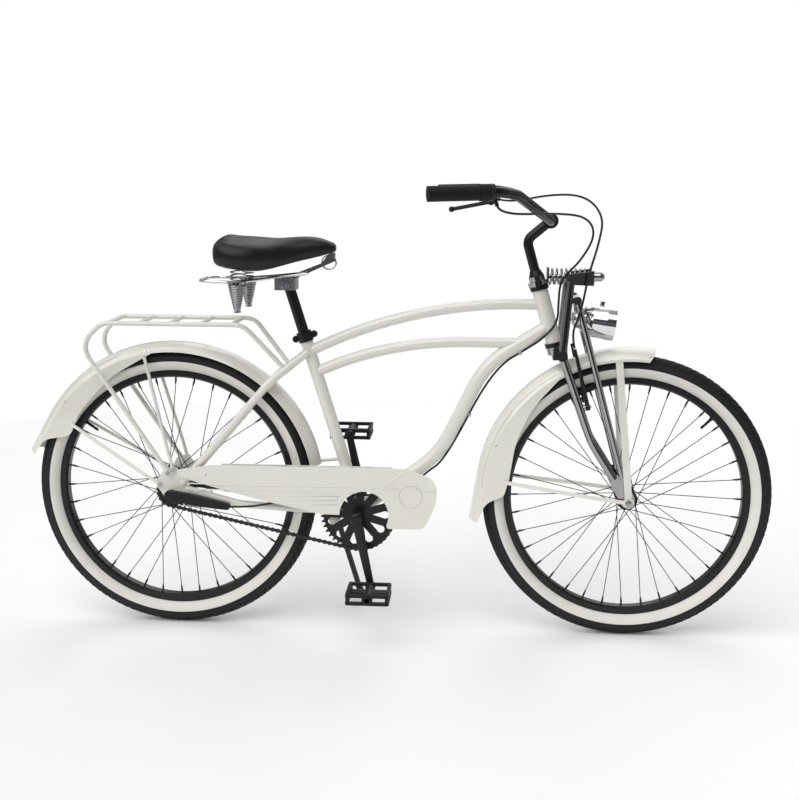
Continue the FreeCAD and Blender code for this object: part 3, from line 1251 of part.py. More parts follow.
def saddle_springs():
    """A short coil above and a tapered coil below on each side, and the nose coil."""
    x, y = SADDLE_SPRING
    up = Vector(0, 0, 1)
    forward = Vector(1, 0, 0)
    coil = spring(at(x, y, DISC_Z[1] + RUN), up, forward, BASE_AT_SPRING - DISC_Z[1] - 2.0 * RUN, (13.0, 13.0),
                  2.5, 1.4, 5.0)
    cone = spring(at(x, y, CAP_Z + RUN), up, forward, DISC_Z[0] - CAP_Z - 2.0 * RUN, (6.2, 19.0), 6.5, 1.5, 7.0)
    nose = spring(at(366, -10.0 + RUN, 874.0), AXIS_Y, forward, 20.0 - 2.0 * RUN, (10.0, 10.0), 2.0, 1.2, 4.0)
    return Part.makeCompound([coil, mirrored(coil), cone, mirrored(cone), nose])


# Cables and clips
CABLE_R = 2.5
CLIP_LENGTH = 8.0
CABLE_PARTING = 7
CABLE_PARTING_GAP = 0.7


def down_offset(distance):
    """The corners of the down tube's axis moved to its underside by a distance."""
    ways = [(b - a).normalize() for a, b in zip(DOWN_POINTS, DOWN_POINTS[1:])]
    sides = [Vector(-w.z, 0, w.x) for w in ways]
    corners = []
    for k in range(2):
        blend = (sides[k] + sides[k + 1]) * (1.0 / (1.0 + sides[k].dot(sides[k + 1])))
        corners.append(DOWN_POINTS[k + 1] + blend * distance)
    return corners, ways


UNDER = DOWN_TUBE_R + CABLE_R + 0.4
UNDER_CORNERS, DOWN_WAYS = down_offset(UNDER)


def shift_route():
    """The shift cable: round the head tube, under the down tube, behind the guard to the cover."""
    start = UNDER_CORNERS[0] - DOWN_WAYS[0] * 104.0
    leave = UNDER_CORNERS[1] + DOWN_WAYS[2] * 62.0
    points = [CABLE_NOSE + CABLE_NOSE_DIR * SEAT, CABLE_NOSE + CABLE_NOSE_DIR * 19.0, at(880, -110, 994),
              at(950, -50, 985), at(972, -34, 945), at(940, -30, 885), at(896, -32, 845), at(893, -32, 790), at(893, -25, 745), at(860, -23, 708),
              start, UNDER_CORNERS[0], UNDER_CORNERS[1], leave, at(540, -42, 337), at(500, -62, 343),
              at(300, -62, 330), at(215, -73, 313), at(170, -86.5, 311.5), at(143 + SEAT, -86.5, 311.5)]
    bends = [0, 13, 60, 40, 40, 60, 40, 40, 30, 20, 30, DOWN_BEND - UNDER, DOWN_BEND + UNDER, 40, 40, 60, 60, 60, 40, 0]
    return points, bends


def shift_cable():
    """The part of the shift cable that stays with the frame."""
    points, bends = shift_route()
    points = points[CABLE_PARTING:]
    points[0] = points[0] + (points[1] - points[0]).normalize() * CABLE_PARTING_GAP
    return bent(points, [0] + bends[CABLE_PARTING + 1:], CABLE_R)


def shift_cable_upper():
    """The part of the shift cable that turns with the handlebar."""
    points, bends = shift_route()
    return bent(points[:CABLE_PARTING + 1], bends[:CABLE_PARTING] + [0], CABLE_R)


def bar_cables():
    """The brake cable to the right arm's top, the bare wire across to the left arm, and the shift cable's upper part."""
    top = at(BRAKE_PIVOT[0], -BRAKE_Y, BRAKE_PIVOT[1]) + BRAKE_UP * (136.0 + SEAT)
    points = [BRAKE_NOSE + BRAKE_NOSE_DIR * SEAT, BRAKE_NOSE + BRAKE_NOSE_DIR * 30.0, at(880, 110, 1032),
              at(952, 20, 1030), at(990, -18, 985), at(978, -42, 925), at(956, -64, 858), at(946, -66, 800),
              at(937, -66, 762), top + BRAKE_UP * 36.0, top]
    sheath = bent(points, [0, 40, 80, 50, 60, 80, 60, 60, 40, 40, 0], CABLE_R)
    low = top - BRAKE_UP * 6.0
    reach = BRAKE_Y - 4.0 - SEAT
    wire = rod(Vector(low.x, -reach, low.z), Vector(low.x, reach, low.z), 1.0)
    return Part.makeCompound([sheath, wire, shift_cable_upper()])


def frame_fasteners():
    """Cable clips under the down tube and the bolt heads at the axle plates."""
    pieces = []
    clips = [(UNDER_CORNERS[0] - DOWN_WAYS[0] * 75.0, DOWN_WAYS[0]),
             ((UNDER_CORNERS[0] + UNDER_CORNERS[1]) * 0.5, DOWN_WAYS[1])]
    for middle, way in clips:
        low = middle - way * (CLIP_LENGTH / 2.0)
        high = middle + way * (CLIP_LENGTH / 2.0)
        clip = rod(low, high, CABLE_R + 3.0).cut([rod(low, high, CABLE_R + SEAT), DOWN_SOLID])
        pieces.append(clip)
    drop_out = REAR_DROP_IN + DROP_THICK
    for (x, z), thick in ((REAR_STAYS[0][0], FENDER_STAY_R), (REAR_STAYS[1][0], FENDER_STAY_R), ((-6, 386), RACK_R)):
        face = drop_out + 2.0 * thick + STAY_CLEAR + SEAT
        for side in (-1, 1):
            pieces.append(rod_y(x, z, side * face, side * (face + 3.0), 5.0))
    return Part.makeCompound(pieces)


def front_hub():
    return hub(WHEELBASE, -FRONT_HUB_END, FRONT_HUB_END, FRONT_SHELL_R, FRONT_FLANGE_Y, FRONT_FLANGE_R,
               FRONT_SPOKE_CIRCLE, 12.0)


def rear_hub():
    return hub(0.0, REAR_HUB_RIGHT, REAR_HUB_LEFT, REAR_SHELL_R, REAR_FLANGE_Y, REAR_FLANGE_R,
               REAR_SPOKE_CIRCLE, 18.0)


NODES = {
    "head_tube": head_tube(), "top_tube": top_tube(), "twin_tube": twin_tube(), "down_tube": down_tube(),
    "seat_tube": seat_tube(), "bottom_bracket_shell": bottom_bracket_shell(), "rear_triangle": rear_triangle(),
    "bearing_cups": bearing_cups(), "seat_clamp": seat_clamp(), "chain_guard": chain_guard(),
    "rear_fender": rear_fender(), "rear_fender_stays": rear_fender_stays(), "rear_rack": rear_rack(),
    "rear_axle": rear_axle(), "bell_crank": bell_crank(), "coaster_arm": coaster_arm(),
    "shift_cable": shift_cable(), "frame_fasteners": frame_fasteners(), "chain": chain(),
    "seat_post": seat_post(), "saddle_clamp": saddle_clamp(), "saddle_frame": saddle_frame(),
    "saddle_springs": saddle_springs(), "saddle_base": saddle_base(), "saddle_cushion": saddle_cushion(),
    "fork_crown": fork_crown(), "stem": stem(), "handlebar": handlebar(), "grips": grips(),
    "lever_bracket": lever_bracket(), "shifter_housing": shifter_housing(), "spring_bolt": spring_bolt(),
    "bar_cables": bar_cables(), "fork_spring": fork_spring(), "shifter_ring": shifter_ring(),
    "brake_lever": brake_lever(), "fork_legs": fork_legs(), "truss_legs": truss_legs(),
    "front_axle": front_axle(), "front_fender": front_fender(), "front_fender_stays": front_fender_stays(),
    "headlight_shell": headlight_shell(), "headlight_lens": headlight_lens(), "spring_yoke": spring_yoke(),
    "front_tyre": tyre(WHEELBASE), "front_rim": rim(WHEELBASE),
    "front_spokes": spokes(WHEELBASE, FRONT_FLANGE_Y, FRONT_SPOKE_CIRCLE), "front_hub": front_hub(),
    "rear_tyre": tyre(0.0), "rear_rim": rim(0.0),
    "rear_spokes": spokes(0.0, REAR_FLANGE_Y, REAR_SPOKE_CIRCLE), "rear_hub": rear_hub(),
    "crank": crank(), "chainring": chainring(), "right_pedal": pedal(-1), "left_pedal": pedal(1),
    "sprocket": sprocket(), "kickstand": kickstand(), "left_brake_arm": brake_arm(),
    "right_brake_arm": mirrored(brake_arm()),
}

os.makedirs("parts", exist_ok=True)
for name, shape in NODES.items():
    shape.exportStep("parts/" + name + ".step")

cable_points, cable_bends = shift_route()
cable_length = route(cable_points, cable_bends).Length
print("nodes", len(NODES))
print("least gap between spring turns, mm", round(min(SPRING_GAPS), 2))
print("shift cable length, mm", round(cable_length))
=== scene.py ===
import json
import math

import bmesh
import bpy
from bpy.props import FloatProperty, FloatVectorProperty, IntProperty, PointerProperty
from mathutils import Matrix, Vector
from mathutils.bvhtree import BVHTree


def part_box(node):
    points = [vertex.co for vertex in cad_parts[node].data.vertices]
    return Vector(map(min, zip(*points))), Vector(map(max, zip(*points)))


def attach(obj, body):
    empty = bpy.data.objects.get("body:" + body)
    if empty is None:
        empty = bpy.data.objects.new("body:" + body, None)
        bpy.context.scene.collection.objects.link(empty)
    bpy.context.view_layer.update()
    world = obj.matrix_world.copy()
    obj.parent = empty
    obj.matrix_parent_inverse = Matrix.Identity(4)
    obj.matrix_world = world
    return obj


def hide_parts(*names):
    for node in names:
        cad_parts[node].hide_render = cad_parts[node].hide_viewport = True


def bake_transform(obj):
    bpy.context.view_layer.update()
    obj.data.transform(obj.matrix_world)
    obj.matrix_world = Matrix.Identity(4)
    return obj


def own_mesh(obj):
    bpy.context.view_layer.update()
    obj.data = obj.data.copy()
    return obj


bl_info = {
    "name": "Cruiser bicycle dresser",
    "version": (1, 0, 0),
    "blender": (4, 5, 0),
    "location": "3D View > Sidebar > Cruiser",
    "description": "Dresses the packed cruiser bicycle with finishes, saddle, cables, chain, tread "
                   "and springs",
    "category": "Object",
}

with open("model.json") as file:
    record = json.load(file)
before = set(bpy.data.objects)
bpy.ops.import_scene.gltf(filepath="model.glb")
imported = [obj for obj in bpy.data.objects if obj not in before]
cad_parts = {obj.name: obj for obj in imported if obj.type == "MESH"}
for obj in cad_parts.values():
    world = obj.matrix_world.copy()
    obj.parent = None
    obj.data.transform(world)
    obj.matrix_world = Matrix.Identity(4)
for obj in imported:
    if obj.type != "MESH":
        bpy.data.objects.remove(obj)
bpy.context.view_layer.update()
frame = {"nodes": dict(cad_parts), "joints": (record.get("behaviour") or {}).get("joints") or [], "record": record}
NODES = frame["nodes"]
JOINT_AT = {joint["name"]: Vector(joint["pos_m"]) for joint in frame["joints"] if "pos_m" in joint}
FRONT_AXLE = JOINT_AT["front_wheel_spin"]
REAR_AXLE = JOINT_AT["rear_wheel_spin"]
SPINDLE = JOINT_AT["crank_turn"]
SIDEWAYS = Vector((0.0, 1.0, 0.0))
FINISHES = {}


# Values that a user may change
def tint_value(label, note, value):
    """A colour for the panel."""
    return FloatVectorProperty(name=label, description=note, subtype="COLOR", size=3, min=0.0, max=1.0,
                               default=value)


def length_value(label, note, value, **limits):
    """A length for the panel."""
    return FloatProperty(name=label, description=note, unit="LENGTH", subtype="DISTANCE", default=value,
                         **limits)


def angle_value(label, note, degrees):
    """An angle for the panel."""
    return FloatProperty(name=label, description=note, subtype="ANGLE", default=math.radians(degrees))


class CruiserColours(bpy.types.PropertyGroup):
    """Colours of the finishes."""
    ivory: tint_value("Ivory paint", "Frame, fenders, rack and guard", (0.78, 0.765, 0.70))
    black: tint_value("Black paint", "Bar, stem, post, rims and cranks", (0.012, 0.012, 0.013))
    plastic: tint_value("Black plastic", "Pedals, gear cover and cable sheaths", (0.014, 0.014, 0.015))
    rubber: tint_value("Tyre rubber", "Tread and grips", (0.011, 0.011, 0.012))
    whitewall: tint_value("Whitewall", "Pale band on the tyre's side", (0.78, 0.765, 0.71))
    vinyl: tint_value("Saddle vinyl", "Cover of the padded saddle", (0.010, 0.010, 0.011))
    chrome: tint_value("Chrome", "Lamp and saddle hardware", (0.72, 0.73, 0.75))
    dark_chrome: tint_value("Dark chrome", "Springer fork", (0.36, 0.36, 0.37))
    steel: tint_value("Zinc steel", "Spokes, axles, nuts and saddle springs", (0.44, 0.45, 0.47))
    chain: tint_value("Oiled steel", "Chain and sprocket", (0.05, 0.05, 0.052))


class CruiserSizes(bpy.types.PropertyGroup):
    """Sizes and counts of the pieces that the dresser adds."""
    tread_rows: IntProperty(name="Tread rows", description="Rows of tread blocks round a tyre",
                            default=108, min=24, max=200)
    tread_proud: length_value("Tread height", "How far a tread block stands out of the tyre", 0.0007,
                              min=0.0002, max=0.004)
    band_inner: length_value("Whitewall inner radius", "Where the pale band starts", 0.2855)
    band_outer: length_value("Whitewall outer radius", "Where the pale band ends", 0.3075)
    chain_links: IntProperty(name="Chain links", description="Links in the whole loop",
                             default=100, min=60, max=140)
    cable_radius: length_value("Cable radius", "Outside radius of the cable sheaths", 0.0025)
    pad_voxel: length_value("Saddle voxel", "Mesh size of the saddle before it swells", 0.005)
    pad_cap: length_value("Saddle swell limit", "The furthest that a point of the saddle may move", 0.006)


class CruiserStage(bpy.types.PropertyGroup):
    """Camera, floor and light."""
    camera_at: FloatVectorProperty(name="Camera place", description="Where the camera stands",
                                   subtype="XYZ", unit="LENGTH", size=3, default=(0.1961, -2.748, 1.067))
    yaw: angle_value("Yaw", "Turn to the left from looking along +Y", 3.90)
    pitch: angle_value("Pitch", "Tilt downwards", 10.52)
    roll: angle_value("Roll", "Turn about the line of sight", 0.29)
    lens: FloatProperty(name="Lens", description="Focal length on a sensor 36 mm high",
                        default=53.775, unit="CAMERA")
    floor: tint_value("Floor colour", "Plain pale floor", (0.96, 0.96, 0.955))
    key: FloatProperty(name="Key light", description="Strength of the large soft light",
                       default=2.25, min=0.0)
    room: FloatProperty(name="Room light", description="Strength of the light from all round",
                        default=0.95, min=0.0)


def colours():
    return bpy.context.scene.cruiser_colours


def sizes():
    return bpy.context.scene.cruiser_sizes


# Shader groups
BAND_SHARPNESS = 2500.0


def feed(tree, socket, value):
    """Sets a socket to a value, or links it to another node's socket."""
    if isinstance(value, bpy.types.NodeSocket):
        tree.links.new(value, socket)
    else:
        socket.default_value = value


def add_node(tree, kind, inputs=None, **settings):
    """A node with its settings; each input is a value or another node's socket."""
    node = tree.nodes.new(kind)
    for label, value in settings.items():
        setattr(node, label, value)
    for label, value in (inputs or {}).items():
        feed(tree, node.inputs[label], value)
    return node


def math_node(tree, operation, *inputs, clamp=False):
    """The result of a math node."""
    node = add_node(tree, "ShaderNodeMath", dict(enumerate(inputs)), operation=operation, use_clamp=clamp)
    return node.outputs[0]


def socket_group(name, inputs, outputs):
    """An empty shader group with named sockets; returns it with its input and output nodes."""
    group = bpy.data.node_groups.new(name, "ShaderNodeTree")
    group.interface.new_socket("Vector", in_out="INPUT", socket_type="NodeSocketVector")
    for label, value in inputs:
        socket = group.interface.new_socket(label, in_out="INPUT", socket_type="NodeSocketFloat")
        socket.default_value = value
    for label in outputs:
        group.interface.new_socket(label, in_out="OUTPUT", socket_type="NodeSocketFloat")
    return group, group.nodes.new("NodeGroupInput"), group.nodes.new("NodeGroupOutput")


def mottle_group():
    """Broad and fine unevenness, for colour and gloss that vary over a surface."""
    group, start, end = socket_group("Mottle", [("Scale", 20.0)], ["Broad", "Fine"])
    for label, factor, detail in (("Broad", 1.0, 4.0), ("Fine", 14.0, 2.0)):
        noise = add_node(group, "ShaderNodeTexNoise", {
            "Vector": start.outputs["Vector"], "Detail": detail,
            "Scale": math_node(group, "MULTIPLY", start.outputs["Scale"], factor)})
        group.links.new(noise.outputs[0], end.inputs[label])


def pebble_group():
    """Pebbled grain of vinyl and moulded plastic."""
    group, start, end = socket_group("Pebble grain", [("Scale", 500.0)], ["Height"])
    cells = add_node(group, "ShaderNodeTexVoronoi",
                     {label: start.outputs[label] for label in ("Vector", "Scale")}, feature="SMOOTH_F1")
    group.links.new(cells.outputs["Distance"], end.inputs["Height"])


def band_group():
    """A ring between two radii round an axis along Y, with soft edges."""
    group, start, end = socket_group("Side band", [("Inner", 0.28), ("Outer", 0.31)], ["Mask"])
    flat = add_node(group, "ShaderNodeVectorMath", {0: start.outputs["Vector"], 1: (1.0, 0.0, 1.0)},
                    operation="MULTIPLY")
    length = add_node(group, "ShaderNodeVectorMath", {0: flat.outputs["Vector"]}, operation="LENGTH")
    edges = []
    for label, sign in (("Inner", 1.0), ("Outer", -1.0)):
        away = math_node(group, "SUBTRACT", length.outputs["Value"], start.outputs[label])
        edges.append(math_node(group, "MULTIPLY_ADD", away, sign * BAND_SHARPNESS, 0.5, clamp=True))
    group.links.new(math_node(group, "MULTIPLY", *edges), end.inputs["Mask"])


# Materials; a bump is its strength and its height
COAT_ROUGHNESS = 0.05
GRAIN_STRENGTH = 0.35
FINE_BUMP = (0.04, 0.0002)
TYRE_BUMP = (0.15, 0.0003)


class Finish:
    """A material being put together: Principled shader, object coordinates and shared groups."""

    def __init__(self, name, metallic=0.0, coat=0.0, specular=0.5):
        self.material = bpy.data.materials.new(name)
        self.material.use_nodes = True
        self.tree = self.material.node_tree
        self.shader = self.tree.nodes["Principled BSDF"]
        for label, value in (("Metallic", metallic), ("Coat Weight", coat),
                             ("Coat Roughness", COAT_ROUGHNESS), ("Specular IOR Level", specular)):
            self.shader.inputs[label].default_value = value
        self.place = self.tree.nodes.new("ShaderNodeTexCoord").outputs["Object"]

    def join(self, start, end):
        self.tree.links.new(start, end)

    def group(self, name, **values):
        return add_node(self.tree, "ShaderNodeGroup", {"Vector": self.place, **values},
                        node_tree=bpy.data.node_groups[name])

    def mix(self, factor, first, second):
        """A colour mix; each colour is three numbers or another node's socket."""
        pair = [c if isinstance(c, bpy.types.NodeSocket) else (*c, 1.0) for c in (first, second)]
        node = add_node(self.tree, "ShaderNodeMix", {0: factor, 6: pair[0], 7: pair[1]}, data_type="RGBA")
        return node.outputs[2]

    def spread(self, value, low, high):
        """A noise value, mostly from 0.3 to 0.7, stretched from low to high."""
        node = add_node(self.tree, "ShaderNodeMapRange", {
            "Value": value, "From Min": 0.3, "From Max": 0.7, "To Min": low, "To Max": high})
        return node.outputs["Result"]

    def colour(self, socket):
        self.join(socket, self.shader.inputs["Base Color"])

    def roughness(self, socket):
        self.join(socket, self.shader.inputs["Roughness"])

    def bump(self, height, strength, distance):
        node = add_node(self.tree, "ShaderNodeBump",
                        {"Height": height, "Strength": strength, "Distance": distance})
        self.join(node.outputs["Normal"], self.shader.inputs["Normal"])


def shade(colour, factor):
    return tuple(c * factor for c in colour)


def coated(name, colour, rough, vary, mottle, metallic=0.0, coat=0.0, grain=0.0, grain_height=0.0,
           specular=0.5):
    """A finish whose colour and gloss vary a little, with optional pebbled grain."""
    finish = Finish(name, metallic=metallic, coat=coat, specular=specular)
    uneven = finish.group("Mottle", Scale=mottle)
    finish.colour(finish.mix(uneven.outputs["Broad"], shade(colour, 1.0 - vary),
                             shade(colour, 1.0 + vary * 0.5)))
    finish.roughness(finish.spread(uneven.outputs["Fine"], rough * 0.85, rough * 1.2))
    if grain:
        finish.bump(finish.group("Pebble grain", Scale=grain).outputs["Height"], GRAIN_STRENGTH, grain_height)
    else:
        finish.bump(uneven.outputs["Fine"], *FINE_BUMP)
    return finish.material


def tyre_finish(name, axle):
    """Black rubber with a pale band on each side, ringed round the wheel's axle."""
    tint = colours()
    finish = Finish(name, specular=0.3)
    centre = add_node(finish.tree, "ShaderNodeMapping",
                      {"Vector": finish.place, "Location": (-axle.x, -axle.y, -axle.z)})
    finish.place = centre.outputs["Vector"]
    uneven = finish.group("Mottle", Scale=30.0)
    ring = finish.group("Side band", Inner=sizes().band_inner, Outer=sizes().band_outer)
    dark = finish.mix(uneven.outputs["Broad"], shade(tint.rubber, 0.8), shade(tint.rubber, 1.5))
    pale = finish.mix(uneven.outputs["Broad"], shade(tint.whitewall, 0.9), shade(tint.whitewall, 1.04))
    finish.colour(finish.mix(ring.outputs["Mask"], dark, pale))
    finish.roughness(finish.spread(uneven.outputs["Fine"], 0.5, 0.72))
    finish.bump(uneven.outputs["Fine"], *TYRE_BUMP)
    return finish.material


def lens_finish():
    """Clear glass with a faint unevenness."""
    finish = Finish("Lamp lens")
    finish.shader.inputs["Transmission Weight"].default_value = 0.92
    finish.shader.inputs["IOR"].default_value = 1.47
    uneven = finish.group("Mottle", Scale=60.0)
    finish.colour(finish.mix(uneven.outputs["Broad"], (0.93, 0.95, 0.96), (0.98, 0.99, 1.0)))
    finish.roughness(finish.spread(uneven.outputs["Fine"], 0.03, 0.08))
    return finish.material


# Mesh helpers
def add_object(name, data):
    obj = bpy.data.objects.new(name, data)
    bpy.context.scene.collection.objects.link(obj)
    return obj


def mesh_from(name, build):
    """A mesh object filled by a function that works on a bmesh."""
    mesh = bpy.data.meshes.new(name)
    bm = bmesh.new()
    build(bm)
    bmesh.ops.recalc_face_normals(bm, faces=bm.faces)
    bm.to_mesh(mesh)
    bm.free()
    return add_object(name, mesh)


def plain_mesh(obj):
    """An object's mesh as its modifiers leave it."""
    bpy.context.view_layer.update()
    graph = bpy.context.evaluated_depsgraph_get()
    return bpy.data.meshes.new_from_object(obj.evaluated_get(graph), depsgraph=graph)


def apply_modifiers(obj):
    obj.data = plain_mesh(obj)
    obj.modifiers.clear()


def smooth(mesh):
    mesh.polygons.foreach_set("use_smooth", [True] * len(mesh.polygons))


def settle(piece, body, slot, *replaced):
    """Puts a piece on its body, in place of the solids that it stands for; the slot is not used."""
    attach(piece, body)
    if replaced:
        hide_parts(*replaced)


def dress(piece, body, slot, *replaced, finish=None):
    """Gives a piece its finish, which has the slot's name unless another is given, and settles it."""
    piece.data.materials.clear()
    piece.data.materials.append(FINISHES[finish or slot])
    settle(piece, body, slot, *replaced)


def built(name, build, body, slot, *replaced, finish=None, rounded=False):
    """A piece made by a function that works on a bmesh, then dressed."""
    piece = mesh_from(name, build)
    if rounded:
        smooth(piece.data)
    dress(piece, body, slot, *replaced, finish=finish)


def corners(node):
    """The two corners of a solid's box."""
    return tuple(Vector(corner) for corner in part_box(node))


def facing(way):
    """The turn that lays z along a direction."""
    return way.to_track_quat("Z", "Y").to_matrix()


def circle(sides):
    """Cosine and sine at even steps round a circle."""
    steps = [2.0 * math.pi * k / sides for k in range(sides)]
    return [(math.cos(a), math.sin(a)) for a in steps]


def skin(bm, rings, closed=False):
    """Joins each ring of points to the next, and caps the ends or closes the last ring on the first."""
    for low, high in zip(rings, rings[1:] + rings[:1] if closed else rings[1:]):
        for k in range(len(low)):
            n = (k + 1) % len(low)
            bm.faces.new((low[k], low[n], high[n], high[k]))
    if not closed:
        bm.faces.new(rings[0])
        bm.faces.new(rings[-1])


def cylinder(bm, low, high, radius, top_radius=None, sides=24):
    """A closed round bar between two points."""
    way = high - low
    bmesh.ops.create_cone(bm, cap_ends=True, segments=sides, radius1=radius,
                          radius2=radius if top_radius is None else top_radius, depth=way.length,
                          matrix=Matrix.Translation((low + high) / 2.0) @ facing(way).to_4x4())


def spun(bm, profile, centre, turn, sides=48):
    """A closed form turned about z from (radius, height) pairs, then placed."""
    spots = circle(sides)
    skin(bm, [[bm.verts.new(centre + turn @ Vector((radius * c, radius * s, height))) for c, s in spots]
              for radius, height in profile])


def tube(bm, points, radius, sides=12):
    """A closed tube along points, its section carried along without twist."""
    ways = [(b - a).normalized() for a, b in zip(points, points[1:])]
    tangents = [ways[0]] + [(a + b).normalized() for a, b in zip(ways, ways[1:])] + [ways[-1]]
    side = tangents[0].orthogonal().normalized()
    rings = []
    for point, tangent in zip(points, tangents):
        side = (side - tangent * side.dot(tangent)).normalized()
        other = tangent.cross(side)
        rings.append([bm.verts.new(point + (side * c + other * s) * radius) for c, s in circle(sides)])
    skin(bm, rings)


def curve_object(name, kind, route, closed=False):
    """A curve object of one spline through or along the route's points."""
    curve = bpy.data.curves.new(name, "CURVE")
    curve.dimensions = "3D"
    spline = curve.splines.new(kind)
    spline.points.add(len(route) - 1)
    for point, place in zip(spline.points, route):
        point.co = (*place, 1.0)
    spline.use_cyclic_u = closed
    return add_object(name, curve)


def smooth_line(name, route):
    """Points along the smooth spline that has the route as its control points."""
    carrier = curve_object(name, "NURBS", route)
    carrier.data.resolution_u = 10
    spline = carrier.data.splines[0]
    spline.order_u = 3
    spline.use_endpoint_u = True
    mesh = plain_mesh(carrier)
    points = [vertex.co.copy() for vertex in mesh.vertices]
    bpy.data.objects.remove(carrier)
    bpy.data.meshes.remove(mesh)
    return points


# Geometry trees
def geometry_tree(name, inputs):
    """A geometry tree with a geometry in and out and the named inputs; returns it with its two ends."""
    tree = bpy.data.node_groups.new(name, "GeometryNodeTree")
    tree.interface.new_socket("Geometry", in_out="INPUT", socket_type="NodeSocketGeometry")
    tree.interface.new_socket("Geometry", in_out="OUTPUT", socket_type="NodeSocketGeometry")
    for label, kind in inputs + [("Finish", "Material")]:
        tree.interface.new_socket(label, in_out="INPUT", socket_type="NodeSocket" + kind)
    return tree, tree.nodes.new("NodeGroupInput"), tree.nodes.new("NodeGroupOutput")


def close_tree(tree, start, end, shape):
    """Realizes the shape, gives it the finish and puts it out."""
    real = add_node(tree, "GeometryNodeRealizeInstances", {"Geometry": shape})
    paint = add_node(tree, "GeometryNodeSetMaterial",
                     {"Geometry": real.outputs["Geometry"], "Material": start.outputs["Finish"]})
    tree.links.new(paint.outputs["Geometry"], end.inputs["Geometry"])
    return tree


def object_shape(tree, start, label):
    return add_node(tree, "GeometryNodeObjectInfo", {"Object": start.outputs[label]}).outputs["Geometry"]


def aligned(tree, vector, axis, pivot="AUTO", before=None):
    inputs = {"Vector": vector} if before is None else {"Vector": vector, "Rotation": before}
    node = add_node(tree, "FunctionNodeAlignRotationToVector", inputs, axis=axis, pivot_axis=pivot)
    return node.outputs["Rotation"]


def named_vector(tree, label):
    node = add_node(tree, "GeometryNodeInputNamedAttribute", {"Name": label}, data_type="FLOAT_VECTOR")
    return node.outputs["Attribute"]


def placed_tree():
    """One piece on every point, its z along the point's out and its x along the point's along."""
    tree, start, end = geometry_tree("Placed pieces", [("Piece", "Object")])
    first = aligned(tree, named_vector(tree, "out"), "Z")
    spread = add_node(tree, "GeometryNodeInstanceOnPoints", {
        "Points": start.outputs["Geometry"], "Instance": object_shape(tree, start, "Piece"),
        "Rotation": aligned(tree, named_vector(tree, "along"), "X", "Z", first)})
    return close_tree(tree, start, end, spread.outputs["Instances"])


def links_tree():
    """Two kinds of link in turn along a loop that lies in the xz plane."""
    tree, start, end = geometry_tree(
        "Links on a loop", [("Outer Link", "Object"), ("Inner Link", "Object"), ("Count", "Int")])
    even = add_node(tree, "GeometryNodeResampleCurve",
                    {"Curve": start.outputs["Geometry"], "Count": start.outputs["Count"]})
    turn = aligned(tree, tree.nodes.new("GeometryNodeInputTangent").outputs["Tangent"], "X", "Y")
    odd = math_node(tree, "MODULO", tree.nodes.new("GeometryNodeInputIndex").outputs["Index"], 2.0)
    other = math_node(tree, "SUBTRACT", 1.0, odd)
    both = tree.nodes.new("GeometryNodeJoinGeometry")
    for label, chosen in (("Outer Link", odd), ("Inner Link", other)):
        spread = add_node(tree, "GeometryNodeInstanceOnPoints", {
            "Points": even.outputs["Curve"], "Selection": chosen,
            "Instance": object_shape(tree, start, label), "Rotation": turn})
        tree.links.new(spread.outputs["Instances"], both.inputs["Geometry"])
    return close_tree(tree, start, end, both.outputs["Geometry"])


def spring_tree():
    """A wound wire that stands on z, from a low radius to a high one."""
    tree, start, end = geometry_tree(
        "Wound spring", [(label, "Float") for label in ("Turns", "Low Radius", "High Radius", "Height",
                                                        "Wire Radius")])
    spiral = add_node(tree, "GeometryNodeCurveSpiral", {
        "Resolution": 40, "Rotations": start.outputs["Turns"], "Start Radius": start.outputs["Low Radius"],
        "End Radius": start.outputs["High Radius"], "Height": start.outputs["Height"]})
    wire = add_node(tree, "GeometryNodeCurvePrimitiveCircle",
                    {"Resolution": 12, "Radius": start.outputs["Wire Radius"]})
    cover = add_node(tree, "GeometryNodeCurveToMesh", {
        "Fill Caps": True, "Curve": spiral.outputs["Curve"], "Profile Curve": wire.outputs["Curve"]})
    return close_tree(tree, start, end, cover.outputs["Mesh"])


def shared_tree(name, make):
    """A tree that several steps use, made once."""
    return bpy.data.node_groups.get(name) or make()


def grown(name, carrier, tree, **values):
    """Runs a geometry tree on a carrier and leaves its plain mesh as a piece."""
    modifier = carrier.modifiers.new("Grow", "NODES")
    modifier.node_group = tree
    for item in tree.interface.items_tree:
        if item.item_type == "SOCKET" and item.in_out == "INPUT" and item.name in values:
            modifier[item.identifier] = values[item.name]
    mesh = plain_mesh(carrier)
    if not mesh.polygons:
        raise RuntimeError(name + " came out empty")
    mesh.name = name
    bpy.data.objects.remove(carrier)
    return add_object(name, mesh)


def scattered(name, spots, piece, body, slot, finish):
    """Copies of a piece on a body; each spot is its place, its out direction and its along direction."""
    mesh = bpy.data.meshes.new(name + "_points")
    mesh.from_pydata([place for place, out, along in spots], [], [])
    for label, index in (("out", 1), ("along", 2)):
        attribute = mesh.attributes.new(label, "FLOAT_VECTOR", "POINT")
        attribute.data.foreach_set("vector", [c for spot in spots for c in spot[index]])
    tree = shared_tree("Placed pieces", placed_tree)
    made = grown(name, add_object(name + "_points", mesh), tree, Piece=piece, Finish=FINISHES[finish])
    settle(made, body, slot)


